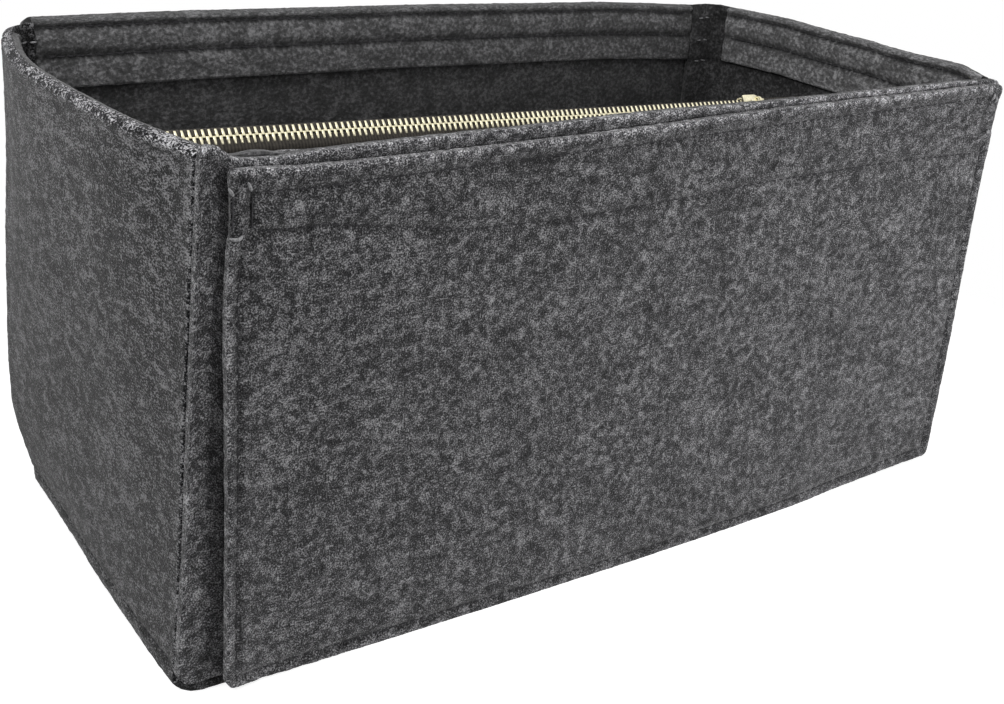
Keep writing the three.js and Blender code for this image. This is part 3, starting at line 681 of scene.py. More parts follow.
def weigh_edges(sheet, outer, inner):
    """Marks the cut edges for rounding: those of the outer face by one width, the inner face's by another."""
    mesh = sheet.data
    corners = np.empty(len(mesh.loops), dtype=np.int32)
    mesh.loops.foreach_get("edge_index", corners)
    sizes = np.empty(len(mesh.polygons), dtype=np.int32)
    mesh.polygons.foreach_get("loop_total", sizes)
    normals = np.empty(len(mesh.polygons) * 3)
    mesh.polygons.foreach_get("normal", normals)
    cut_face = np.abs(normals.reshape(-1, 3)[:, 2]) < 0.5
    cut_sides = np.bincount(corners, weights=np.repeat(cut_face, sizes), minlength=len(mesh.edges))
    ends = np.empty(len(mesh.edges) * 2, dtype=np.int32)
    mesh.edges.foreach_get("vertices", ends)
    level = points_of(sheet)[ends.reshape(-1, 2)[:, 0], 2]
    middle = (level.min() + level.max()) / 2
    weights = np.where(level > middle, outer, inner) / max(outer, inner) * (cut_sides == 1)
    mark(sheet, "bevel_weight_edge", weights, "EDGE")


# Where the pale fray of a cut edge, with a painted highlight that is strongest along the top edge, starts to
# fade and ends, and how strong it is at the sides beside the top
TOP_FRAY_AND_HIGHLIGHT = (0.0004, 0.0026)
SIDE_FRAY_AND_HIGHLIGHT = (0.0004, 0.0022)
SIDE_FRAY_AND_HIGHLIGHT_SHARE = 0.3

# How far the outer and the inner edges are rounded over, as shares of the full rounding
WALL_ROUNDING = (1, 0.12)
FRONT_WALL_ROUNDING = (1, 0.6)
POCKET_ROUNDING = (1, 0.8)
BAND_ROUNDING = (0.1, 1)

# The most that a sheet's edges are rounded over, as a share of its thickness
MOST_ROUNDING = 0.45


def keep_flat_places(sheet):
    """Stores the flat sheet's own places, and how near each is to the cut edge, which its material reads
    after the sheet is laid on a wall. That mark makes the cut edges paler, fully along the top edge and by a
    share at the others: partly pale fray, partly a painted highlight."""
    points = points_of(sheet)
    flat = sheet.data.attributes.new("flat", "FLOAT_VECTOR", "POINT")
    flat.data.foreach_set("vector", points.ravel())
    low, high = points.min(axis=0), points.max(axis=0)
    from_top = high[Y] - points[:, Y]
    from_sides = np.minimum(np.minimum(points[:, X] - low[X], high[X] - points[:, X]), points[:, Y] - low[Y])
    top = 1 - blend_in(from_top, *TOP_FRAY_AND_HIGHLIGHT)
    sides = SIDE_FRAY_AND_HIGHLIGHT_SHARE * (1 - blend_in(from_sides, *SIDE_FRAY_AND_HIGHLIGHT))
    mark(sheet, "fray_and_highlight", np.maximum(top, sides))


def flat_sheet(
    name, columns, rows, radii=(0, 0, 0, 0), seams=(), thickness=FELT, rounding=(1, 1), painted_shade_lines=()
):
    """A sheet cut flat: its outer face on the grid, its thickness behind it, its edges rounded over and its
    seams pressed in from both faces, with painted shade darkening their grooves. A seam is a path, its reach
    and how many times deeper it lies than others. The rounding is the outer and inner edges' share of the
    full one. A painted shade line, a path and its reach, darkens the inner face with painted shade."""
    felt = bpy.context.scene.insert_felt
    across, up = len(columns) - 1, len(rows) - 1
    bpy.ops.mesh.primitive_grid_add(x_subdivisions=across, y_subdivisions=up, size=1, location=(0, 0, 0))
    sheet = name_piece(bpy.context.object, name)
    points = points_of(sheet)
    points[:, 0] = columns[np.rint((points[:, 0] + 0.5) * across).astype(int)]
    points[:, 1] = rows[np.rint((points[:, 1] + 0.5) * up).astype(int)]
    points = rounded_corners(points, (columns[0], rows[0]), (columns[-1], rows[-1]), radii)
    move_points(sheet, points)
    solid = sheet.modifiers.new("thickness", "SOLIDIFY")
    solid.thickness = thickness
    solid.offset = -1
    apply_modifiers(sheet)
    weigh_edges(sheet, *rounding)
    round_edges(sheet, min(felt.edge_round, thickness * MOST_ROUNDING) * max(rounding), 4)
    keep_flat_places(sheet)
    points = points_of(sheet)
    pull = bpy.context.scene.insert_seams.pull
    middle = -thickness / 2
    # Painted shade: seams darken the felt's colour along their grooves, and painted shade lines along their
    # paths, through a mark that the felt material reads
    painted_line_shade = np.zeros(len(points))
    for path, reach, *deeper in seams:
        near = swell(line_distance(points[:, :2], path), 0, reach)
        painted_line_shade = np.maximum(painted_line_shade, SEAM_PAINTED_SHADE * math.prod(deeper) ** 2 * near)
        pressed = pull * math.prod(deeper) * near
        points[:, 2] = middle + (points[:, 2] - middle) * (1 - pressed / (thickness / 2))
    # Painted shade lines darken only the inner face
    for path, reach in painted_shade_lines:
        near = swell(line_distance(points[:, :2], path), 0, reach)
        painted_line_shade = np.maximum(painted_line_shade, LINE_PAINTED_SHADE * near * (points[:, 2] < middle))
    mark(sheet, "press_and_painted_shade", painted_line_shade)
    move_points(sheet, points)
    return sheet


def lay_on(piece, wall, inset=0.0):
    """Lays a flat piece on a wall, inset from the wall's outer face."""
    along, up, out = points_of(piece).T
    move_points(piece, wall(along, up, out - inset))
    return piece


# Each unevenness of the felt: its size, and its strength as a share of the nap setting
UNEVENNESS = {"felt nap": (0.0013, 0.6), "felt lumps": (0.008, 0.54)}


def raise_nap(sheet):
    """Makes the felt's surface and edges uneven."""
    felt = bpy.context.scene.insert_felt
    for name, (size, share) in UNEVENNESS.items():
        texture = bpy.data.textures.get(name) or bpy.data.textures.new(name, "CLOUDS")
        texture.noise_scale = size
        texture.noise_depth = 2
        uneven = sheet.modifiers.new(name, "DISPLACE")
        uneven.texture = texture
        uneven.texture_coords = "LOCAL"
        uneven.strength = felt.nap * share
        uneven.mid_level = 0.5
    apply_modifiers(sheet)


def felt_piece(
    name,
    wall,
    columns,
    rows,
    node,
    inset=0.0,
    radii=(0, 0, 0, 0),
    seams=(),
    rounding=(1, 1),
    material=None,
    painted_shade_lines=(),
):
    """A sheet of felt, cut flat, laid on its wall and given its material and body in place of its node."""
    sheet = flat_sheet(name, columns, rows, radii, seams, rounding=rounding, painted_shade_lines=painted_shade_lines)
    lay_on(sheet, wall, inset)
    mend_facing(sheet)
    raise_nap(sheet)
    finish_piece(sheet, material or felt_material(), nodes=[node])
    return sheet


def mend_facing(piece):
    """Turns a closed piece's faces outwards after its flat form was mirrored on to a wall."""
    select_only(piece)
    bpy.ops.object.mode_set(mode="EDIT")
    bpy.ops.mesh.select_all(action="SELECT")
    bpy.ops.mesh.normals_make_consistent(inside=False)
    bpy.ops.object.mode_set(mode="OBJECT")


# Seams
STITCH_DIP_SHARE = 0.9


def stitch_form(name, width=1.0):
    """One stitch, lying along X, with its ends dipping into the felt."""
    seams = bpy.context.scene.insert_seams
    bpy.ops.mesh.primitive_uv_sphere_add(segments=7, ring_count=6, radius=0.5, location=(0, 0, 0))
    stitch = name_piece(bpy.context.object, name)
    bpy.ops.object.mode_set(mode="EDIT")
    bpy.ops.mesh.select_all(action="SELECT")
    bpy.ops.transform.rotate(value=math.pi / 2, orient_axis="Y", center_override=(0, 0, 0))
    thread = seams.thread * width
    bpy.ops.transform.resize(value=(seams.stitch, thread, thread), center_override=(0, 0, 0))
    bpy.ops.object.mode_set(mode="OBJECT")
    points = points_of(stitch)
    points[:, 2] -= seams.thread * STITCH_DIP_SHARE * (points[:, 0] / (seams.stitch / 2)) ** 2
    move_points(stitch, points)
    return stitch


def sew(name, wall, path, out, node=None, material=None, inset=0.0, facing=1, pitch=None, width=1.0):
    """A row of stitches along a path on a flat sheet, laid on its wall."""
    seams = bpy.context.scene.insert_seams
    pitch = pitch or seams.pitch
    corners = np.array(path)
    steps = np.diff(corners, axis=0)
    lengths = np.linalg.norm(steps, axis=1)
    travelled = np.concatenate([[0], np.cumsum(lengths)])
    row = stitch_form(name, width)
    count = max(1, int((travelled[-1] - seams.stitch) / pitch))
    repeat_along(row, count, pitch)
    points = points_of(row)
    spare = travelled[-1] - (count - 1) * pitch
    distance = points[:, 0] + spare / 2
    stretch = np.clip(np.searchsorted(travelled, distance, side="right") - 1, 0, len(lengths) - 1)
    heading = steps[stretch] / lengths[stretch][:, None]
    place = corners[stretch] + heading * (distance - travelled[stretch])[:, None]
    aside = np.column_stack([-heading[:, 1], heading[:, 0]]) * points[:, 1][:, None]
    flat = np.column_stack([place + aside, out + facing * points[:, 2]])
    move_points(row, flat)
    lay_on(row, wall, inset)
    mend_facing(row)
    finish_piece(row, material or thread_material(), nodes=[node] if node else ())
    return row


def join_pieces(pieces, name, nodes):
    """Joins rows of stitches to one piece that takes the place of the named nodes."""
    bpy.ops.object.select_all(action="DESELECT")
    for piece in pieces:
        piece.select_set(True)
    bpy.context.view_layer.objects.active = pieces[0]
    bpy.ops.object.join()
    joined = name_piece(bpy.context.object, name)
    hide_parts(*nodes)
    return joined


def up_from_rim(depth):
    """How far up a wall a depth below its rim lies."""
    return WALL_HEIGHT - depth


# Painted shade lines: how far below the rim a band's is, how far from the end of the left wall the corner's
# is, and how far each reaches from its line
BAND_PAINTED_SHADE_DEPTH = BAND_HEIGHT + 0.0006
BAND_PAINTED_SHADE_REACH = 0.0010
CORNER_PAINTED_SHADE_INSET = 0.006
CORNER_PAINTED_SHADE_REACH = 0.011


def band_foot_crease(start, end):
    """Painted shade: the dark line of shade under the lower edge of a band, on its wall."""
    height = up_from_rim(BAND_PAINTED_SHADE_DEPTH)
    return [([(start, height), (end, height)], BAND_PAINTED_SHADE_REACH)]


def corner_crease(wall):
    """Painted shade that darkens the inside of the left wall's bend."""
    if wall is not LEFT_WALL:
        return []
    place = wall.path_length - CORNER_PAINTED_SHADE_INSET
    return [([(place, 0), (place, WALL_HEIGHT)], CORNER_PAINTED_SHADE_REACH)]


# Materials
def set_inputs(node, **inputs):
    for name, value in inputs.items():
        node.inputs[name.replace("_", " ")].default_value = value


def add_node(tree, kind, **inputs):
    node = tree.nodes.new(kind)
    set_inputs(node, **inputs)
    return node


def math_node(tree, operation, *values):
    node = tree.nodes.new("ShaderNodeMath")
    node.operation = operation
    for slot, value in enumerate(values):
        if isinstance(value, (int, float)):
            node.inputs[slot].default_value = value
        else:
            tree.links.new(value, node.inputs[slot])
    return node.outputs[0]


def add_noise(tree, place, **inputs):
    noise = add_node(tree, "ShaderNodeTexNoise", **inputs)
    tree.links.new(place, noise.inputs["Vector"])
    return noise.outputs["Fac"]


def add_bump(tree, shader, mask, strength, distance):
    bump = add_node(tree, "ShaderNodeBump", Strength=strength, Distance=distance)
    tree.links.new(mask, bump.inputs["Height"])
    tree.links.new(bump.outputs["Normal"], shader.inputs["Normal"])


def add_ramp(tree, mask, *stops):
    """Colours for a mask. Each stop is a value of the mask and its colour."""
    ramp = tree.nodes.new("ShaderNodeValToRGB")
    elements = ramp.color_ramp.elements
    for element, (value, colour) in zip((elements[0], elements[1]), (stops[0], stops[-1])):
        element.position = value
        element.color = colour
    for value, colour in stops[1:-1]:
        elements.new(value).color = colour
    tree.links.new(mask, ramp.inputs["Fac"])
    return ramp.outputs["Color"]


def read_attribute(tree, name, output="Fac"):
    node = tree.nodes.new("ShaderNodeAttribute")
    node.attribute_name = name
    return node.outputs[output]


def object_place(tree):
    return tree.nodes.new("ShaderNodeTexCoord").outputs["Object"]


def new_material(name):
    material = bpy.data.materials.new(name)
    material.use_nodes = True
    tree = material.node_tree
    shader = tree.nodes["Principled BSDF"]
    return material, tree, shader


# Headings of the melange's fibres in degrees, and how much its clumps and patches count beside the fibres
FIBRE_TURNS = (12, 74, 128)
CLUMPS_SHARE = 0.28
PATCHES_SHARE = 0.10

# The mask's mean, where the middle grey lies, and how far below and above it the dark and the light fibres
# lie where the softness is 1
FELT_TONE = 0.6625
DARK_REACH = 0.05
LIGHT_REACH = 0.064

# The grey that all colours of even felt come nearer to, and what share of the dark and light together its
# middle grey is
EVEN_GREY = 0.122
EVEN_MIDDLE = 0.42


def fibre_layer(group, place, turn, seed):
    """Noise drawn out along one heading of the flat sheet, as fibres that lie that way."""
    lie = group.nodes.new("ShaderNodeMapping")
    lie.vector_type = "TEXTURE"
    lie.inputs["Location"].default_value = (seed * 0.37, seed * 0.21, seed * 0.11)
    lie.inputs["Rotation"].default_value = (0, 0, math.radians(turn))
    lie.inputs["Scale"].default_value = (0.0030, 0.00062, 0.0012)
    group.links.new(place, lie.inputs["Vector"])
    return add_noise(group, lie.outputs["Vector"], Scale=1.0, Detail=2.0, Roughness=0.62, Distortion=0.35)


def melange_group():
    """Masks for melange felt, read from a flat sheet's own places: crossing fibres, clumps and patches."""
    group = bpy.data.node_groups.get("Melange fibres")
    if group:
        return group
    group = bpy.data.node_groups.new("Melange fibres", "ShaderNodeTree")
    group.interface.new_socket("Vector", in_out="INPUT", socket_type="NodeSocketVector")
    for name in ("Fibres", "Clumps", "Patches"):
        group.interface.new_socket(name, in_out="OUTPUT", socket_type="NodeSocketFloat")
    entry = group.nodes.new("NodeGroupInput").outputs["Vector"]
    leave = group.nodes.new("NodeGroupOutput")
    link = group.links.new

    wander = add_node(group, "ShaderNodeTexNoise", Scale=380.0, Detail=2.0)
    link(entry, wander.inputs["Vector"])
    moved = group.nodes.new("ShaderNodeVectorMath")
    moved.operation = "MULTIPLY_ADD"
    moved.inputs[1].default_value = (0.0042, 0.0042, 0.0)
    link(wander.outputs["Color"], moved.inputs[0])
    link(entry, moved.inputs[2])

    layers = [
        fibre_layer(group, moved.outputs[0], turn, seed) for seed, turn in enumerate(FIBRE_TURNS, start=1)
    ]
    light = math_node(group, "MAXIMUM", math_node(group, "MAXIMUM", layers[0], layers[1]), layers[2])
    dark = math_node(group, "MINIMUM", math_node(group, "MINIMUM", layers[0], layers[1]), layers[2])
    fibres = math_node(group, "MULTIPLY", math_node(group, "ADD", light, dark), 0.5)
    grain = add_noise(group, entry, Scale=1900.0, Detail=2.0, Roughness=0.7)
    speckled = math_node(group, "ADD", fibres, math_node(group, "MULTIPLY", grain, 1.7))
    link(math_node(group, "MULTIPLY", speckled, 0.35), leave.inputs["Fibres"])
    for output, scale in (("Clumps", 330.0), ("Patches", 60.0)):
        noise = add_noise(group, entry, Scale=scale, Detail=2.0, Roughness=0.6, Distortion=0.6)
        link(noise, leave.inputs[output])
    return group


def felt_colour(colour, shade, even):
    """One of the felt colours in a shade. Where the felt is even, it comes nearer to one grey."""
    parts = [max(0, shade * (part + (EVEN_GREY - part) * even)) for part in colour[:3]]
    return np.array([*parts, 1])


def felt_material(name="Grey melange felt", shade=1.11, softness=2.1, fray_and_highlight=1.3, stretch=(1, 1), even=0.0):
    """Needled grey melange felt: pale and dark fibres in soft clumps, with a faint sheen. Where it is softer,
    the fibres differ less from one another. Its fray makes the cut edges paler, partly as pale fuzz and
    partly as a painted highlight along the top edges, and its stretch draws the fibres out along the sheet
    and up it. Where it is even, all fibres come nearer to one grey, and below 0 they differ more."""
    material = bpy.data.materials.get(name)
    if material:
        return material
    felt = bpy.context.scene.insert_felt
    dark, mid, light = (felt_colour(colour, shade, even) for colour in (felt.dark, felt.mid, felt.light))
    if even > 0:
        mid[:3] += (EVEN_MIDDLE * (dark + light)[:3] - mid[:3]) * even
    material, tree, shader = new_material(name)
    link = tree.links.new
    drawn = tree.nodes.new("ShaderNodeVectorMath")
    drawn.operation = "DIVIDE"
    drawn.inputs[1].default_value = (*stretch, 1)
    link(read_attribute(tree, "flat", "Vector"), drawn.inputs[0])
    masks = tree.nodes.new("ShaderNodeGroup")
    masks.node_tree = melange_group()
    link(drawn.outputs[0], masks.inputs["Vector"])
    clumped = math_node(tree, "MULTIPLY", masks.outputs["Clumps"], CLUMPS_SHARE)
    patched = math_node(tree, "MULTIPLY", masks.outputs["Patches"], PATCHES_SHARE)
    mixed = math_node(tree, "ADD", masks.outputs["Fibres"], math_node(tree, "ADD", clumped, patched))
    below = FELT_TONE - DARK_REACH * softness
    above = FELT_TONE + LIGHT_REACH * softness
    # Pale fray and painted highlight: the cut edges are made paler, the top edge most
    frayed_and_lit = math_node(tree, "ADD", math_node(tree, "MULTIPLY", read_attribute(tree, "fray_and_highlight"), fray_and_highlight), 1.0)
    # Painted shade along seams and painted shade lines darkens the colour
    painted_line_shade = math_node(tree, "SUBTRACT", 1.0, read_attribute(tree, "press_and_painted_shade"))
    toned = tree.nodes.new("ShaderNodeVectorMath")
    toned.operation = "SCALE"
    link(add_ramp(tree, mixed, (below, dark), (FELT_TONE, mid), (above, light)), toned.inputs[0])
    link(math_node(tree, "MULTIPLY", frayed_and_lit, painted_line_shade), toned.inputs["Scale"])
    link(toned.outputs[0], shader.inputs["Base Color"])
    set_inputs(shader, Roughness=1.0, Specular_IOR_Level=0.1, Sheen_Weight=0.3, Sheen_Roughness=0.5)
    add_bump(tree, shader, mixed, 0.9, 0.001)
    return material


def smooth_felt(name, shade, even):
    """Felt that is pressed smooth, with its fibres drawn out and its cut edges clean."""
    return felt_material(name, shade, softness=2.2, fray_and_highlight=0.0, stretch=(3.0, 2.6), even=even)


def side_felt():
    """The felt of the left wall, its fibres made to differ more from one another as painted raking light and
    shade.
    """
    return felt_material("Side felt", shade=0.5, softness=1.25, fray_and_highlight=1.7, stretch=(1.6, 1.1), even=-0.45)


def inner_felt():
    """The felt inside, pressed smoother than the outside, and darker as painted shade."""
    return smooth_felt("Inner felt", 0.76, 0.5)


def lap_felt():
    """The felt of the right wall, as smooth as the inside but darker, as painted shade."""
    return smooth_felt("Lap felt", 0.60, 0.4)


# How light each band's felt is made, as painted light and shade: the right band lighter as painted light, the
# left darker as painted shade
BAND_LIGHT_AND_SHADE = {"front": 1.13, "rear": 1.13, "left": 0.72, "right": 2.2}


def band_felt(side):
    """The felt of a band, as smooth as the inside, made lighter or darker for each band as painted light and
    shade.
    """
    return smooth_felt("Band felt, " + side, BAND_LIGHT_AND_SHADE[side], 0.45)


def shaded_felt():
    """The same felt made darker as painted shade, for the base, whose cut edge shows as a dark line in the
    shade under the walls.
    """
    return felt_material("Base felt", shade=0.5, fray_and_highlight=0.0)


def thread_material():
    """Dark grey sewing thread with its ply showing."""
    return yarn_material("Dark thread", (0.035, 0.034, 0.038, 1))


def tack_material():
    """Thread that lies on top of the felt, made pale as a painted highlight where it catches the light."""
    return yarn_material("Tack thread", (0.36, 0.36, 0.37, 1))


def yarn_material(name, colour):
    """Sewing thread, darker in the hollows of its ply as painted shade and paler on its crowns as painted
    highlight.
    """
    material = bpy.data.materials.get(name)
    if material:
        return material
    material, tree, shader = new_material(name)
    ply = add_noise(tree, object_place(tree), Scale=1600.0, Detail=2.0, Roughness=0.6)
    painted_ply_shade = [0.45 * part for part in colour[:3]] + [1]
    high = [min(1, 1.5 * part) for part in colour[:3]] + [1]
    tree.links.new(add_ramp(tree, ply, (0.3, painted_ply_shade), (0.75, high)), shader.inputs["Base Color"])
    set_inputs(shader, Roughness=0.7, Specular_IOR_Level=0.3)
    add_bump(tree, shader, ply, 0.4, 0.0001)
    return material


TAPE_DARK = (0.012, 0.010, 0.009, 1)
TAPE_LIGHT = (0.10, 0.088, 0.072, 1)


def tape_material():
    """Dark woven zip tape."""
    material = bpy.data.materials.get("Zip tape")
    if material:
        return material
    material, tree, shader = new_material("Zip tape")
    place = object_place(tree)
    ribs = add_node(tree, "ShaderNodeTexWave", Scale=260.0, Distortion=0.4, Detail=1.0)
    ribs.bands_direction = "X"
    tree.links.new(place, ribs.inputs["Vector"])
    grain = add_noise(tree, place, Scale=900.0, Detail=3.0, Roughness=0.7)
    weave = math_node(tree, "MULTIPLY_ADD", ribs.outputs["Fac"], 0.4, grain)
    tree.links.new(add_ramp(tree, weave, (0.35, TAPE_DARK), (1.0, TAPE_LIGHT)), shader.inputs["Base Color"])
    set_inputs(shader, Roughness=0.85)
    add_bump(tree, shader, weave, 0.5, 0.00012)
    return material


def brass_material():
    """Polished brass with fine wear, for the teeth, stops, slider and pull."""
    material = bpy.data.materials.get("Zip brass")
    if material:
        return material
    metal = bpy.context.scene.insert_zip.metal
    material, tree, shader = new_material("Zip brass")
    link = tree.links.new
    wear = add_noise(tree, object_place(tree), Scale=700.0, Detail=3.0, Roughness=0.6)
    worn = [0.72 * part for part in metal[:3]] + [1]
    link(add_ramp(tree, wear, (0.3, worn), (0.7, metal)), shader.inputs["Base Color"])
    rough = add_node(tree, "ShaderNodeMapRange", To_Min=0.22, To_Max=0.38)
    link(wear, rough.inputs["Value"])
    link(rough.outputs["Result"], shader.inputs["Roughness"])
    set_inputs(shader, Metallic=1.0)
    return material


WHITE = (1, 1, 1, 1)
FLOOR_GREY = (0.7, 0.7, 0.7, 1)
FLOOR_GLOW = 0.8


def white_when_seen(tree, shader):
    """White to the camera, and in reflections and through glass, over whatever lights the insert."""
    link = tree.links.new
    path = tree.nodes.new("ShaderNodeLightPath")
    seen = math_node(tree, "MAXIMUM", path.outputs["Is Camera Ray"], path.outputs["Is Glossy Ray"])
    seen_through = math_node(tree, "MAXIMUM", seen, path.outputs["Is Transmission Ray"])
    white = add_node(tree, "ShaderNodeBackground", Color=WHITE, Strength=1.0)
    mix = tree.nodes.new("ShaderNodeMixShader")
    link(seen_through, mix.inputs["Fac"])
    link(shader.outputs[0], mix.inputs[1])
    link(white.outputs[0], mix.inputs[2])
    return mix.outputs[0]


def floor_material():
    """A pale floor that glows to the camera only."""
    material, tree, shader = new_material("Pale floor")
    set_inputs(shader, Base_Color=FLOOR_GREY, Roughness=0.9, Specular_IOR_Level=0.0, Emission_Color=WHITE)
    path = tree.nodes.new("ShaderNodeLightPath")
    glow = math_node(tree, "MULTIPLY", path.outputs["Is Camera Ray"], FLOOR_GLOW)
    tree.links.new(glow, shader.inputs["Emission Strength"])
    return material


# Operators
class INSERT_OT_base(bpy.types.Operator):
    """Cut the base sheet to the outline of the walls' foot"""

    bl_idname = "insert.base"
    bl_label = "Base"

    def execute(self, context):
        step = context.scene.insert_felt.grid_step * BASE_STEP_SHARE
        felt_piece(
            "base_felt",
            base_floor,
            grid_places(LEFT_EDGE, RIGHT_EDGE, step),
            grid_places(BODY_FACE, REAR_FOOT, step),
            "base_panel",
            radii=(0.008, 0.008, 0.015, 0.015),
            material=shaded_felt(),
        )
        return {"FINISHED"}


class INSERT_OT_walls(bpy.types.Operator):
    """Stand up the front wall, the rear wall and the two end walls that bend round the rear corners"""

    bl_idname = "insert.walls"
    bl_label = "Walls"

    def execute(self, context):
        step = context.scene.insert_felt.grid_step
        band_foot = up_from_rim(BAND_HEIGHT)
        below, above, fine_step = BAND_FOOT_ROWS
        foot_rows = (0, FINE_REACH, FINE_STEP)
        band_rows = (band_foot + below, band_foot + above, fine_step)
        rim_rows = (up_from_rim(RIM_ROLL_HEIGHT), WALL_HEIGHT, FINE_STEP)
        felt_piece(
            "front_wall_felt",
            front_wall,
            grid_places(LEFT_EDGE, RIGHT_EDGE, step),
            grid_places(0, WALL_HEIGHT, step, [foot_rows, band_rows, rim_rows]),
            "front_body_panel",
            radii=(0.005, 0.006, 0.004, 0.003),
            rounding=FRONT_WALL_ROUNDING,
        )
        foot = [(REAR_LEFT, FOOT_SEAM_HEIGHT), (REAR_RIGHT, FOOT_SEAM_HEIGHT)]
        band_seam_rows = (up_from_rim(BAND_SEAM_ROWS_DEPTH), WALL_HEIGHT, FINE_STEP)
        rows = grid_places(0, WALL_HEIGHT, step, [foot_rows, band_seam_rows])
        felt_piece(
            "rear_wall_felt",
            rear_wall,
            grid_places(REAR_LEFT, REAR_RIGHT, step),
            rows,
            "rear_body_panel",
            painted_shade_lines=band_foot_crease(REAR_LEFT, REAR_RIGHT),
            radii=(0, 0, 0, 0.003),
            seams=[(foot, SEAM_REACH)],
            rounding=WALL_ROUNDING,
            material=inner_felt(),
        )
        for side, wall in END_WALLS.items():
            foot = [(FOOT_SEAM_MARGIN, FOOT_SEAM_HEIGHT), (wall.path_length, FOOT_SEAM_HEIGHT)]
            felt_piece(
                side + "_wall_felt",
                wall,
                grid_places(0, wall.path_length, step),
                rows,
                side + "_end_panel",
                painted_shade_lines=band_foot_crease(0, wall.path_length) + corner_crease(wall),
                seams=[(foot, SEAM_REACH)],
                rounding=WALL_ROUNDING,
                material=side_felt() if side == "left" else lap_felt(),
            )
        return {"FINISHED"}


POCKET_WIDTH = POCKET_RIGHT - POCKET_LEFT
POCKET_HEIGHT = POCKET_TOP - POCKET_FOOT


def flat_path(*places):
    """A path on the flat pocket, from places on the laid one."""
    return [(x, z - POCKET_FOOT - float(np.interp(x, *POCKET_SAG))) for x, z in places]


POCKET_SIDE_SEAM = [
    (POCKET_LEFT + 0.0034, POCKET_HEIGHT - 0.0215),
    (POCKET_LEFT + 0.0036, POCKET_HEIGHT * 0.55),
    (POCKET_LEFT + 0.0030, POCKET_HEIGHT * 0.25),
    (POCKET_LEFT + 0.0032, 0.0034),
    (POCKET_LEFT + POCKET_WIDTH * 0.3, 0.0044),
    (POCKET_LEFT + POCKET_WIDTH * 0.7, 0.0040),
    (POCKET_RIGHT - POCKET_SEAM_MARGIN, 0.0040),
    (POCKET_RIGHT - 0.0040, POCKET_HEIGHT - 0.0215),
]
POCKET_UPPER_SEAM = flat_path(
    (-0.151, 0.1537), (-0.105, 0.1536), (-0.035, 0.1543), (0.035, 0.1553), (0.1, 0.1560), (0.160, 0.1562)
)
POCKET_LOWER_SEAM = flat_path(
    (-0.151, 0.1428),
    (-0.128, 0.1420),
    (-0.080, 0.1342),
    (-0.036, 0.1327),
    (0.055, 0.1355),
    (0.108, 0.1360),
    (0.160, 0.1345),
)
# Tacks: their uprights beside the pocket's edges, and the loops at their ends. A place of a loop is how far
# in from the edge and how far below the top it lies.
TACK_PITCH = 0.0021
TACK_EDGE = 0.0007
TACK_LOOP_PITCH = 0.0016
TACK_LOOP_WIDTH = 2.1
TACK_LOOP_LIFT = 0.0006
LEAST_TACK_REACH = {"left": -0.002, "right": 0.0034}
TACK_TOP = POCKET_HEIGHT - TACK_DEPTH
TACK_SIDES = [
    [(x, TACK_TOP), (x, TACK_TOP - TACK_LENGTH)]
    for x in (
        POCKET_LEFT + TACK_EDGE,
        POCKET_LEFT + TACK_EDGE + TACK_WIDTH,
        POCKET_RIGHT - TACK_EDGE,
        POCKET_RIGHT - TACK_EDGE - TACK_WIDTH,
    )
]
TACK_LOOPS = (
    ((-0.0014, 0.0042), (-0.0004, 0.0058), (0.0006, 0.0074)),
    ((0.0049, 0.0036), (0.0058, 0.0057)),
    ((-0.0010, 0.0168), (-0.0003, 0.0186), (0.0018, 0.0189), (0.0050, 0.0174)),
)
POCKET_SEAMS = {
    "pocket_seam_thread": POCKET_SIDE_SEAM,
    "pocket_hem_thread_1": POCKET_UPPER_SEAM,
    "pocket_hem_thread_2": POCKET_LOWER_SEAM,
}


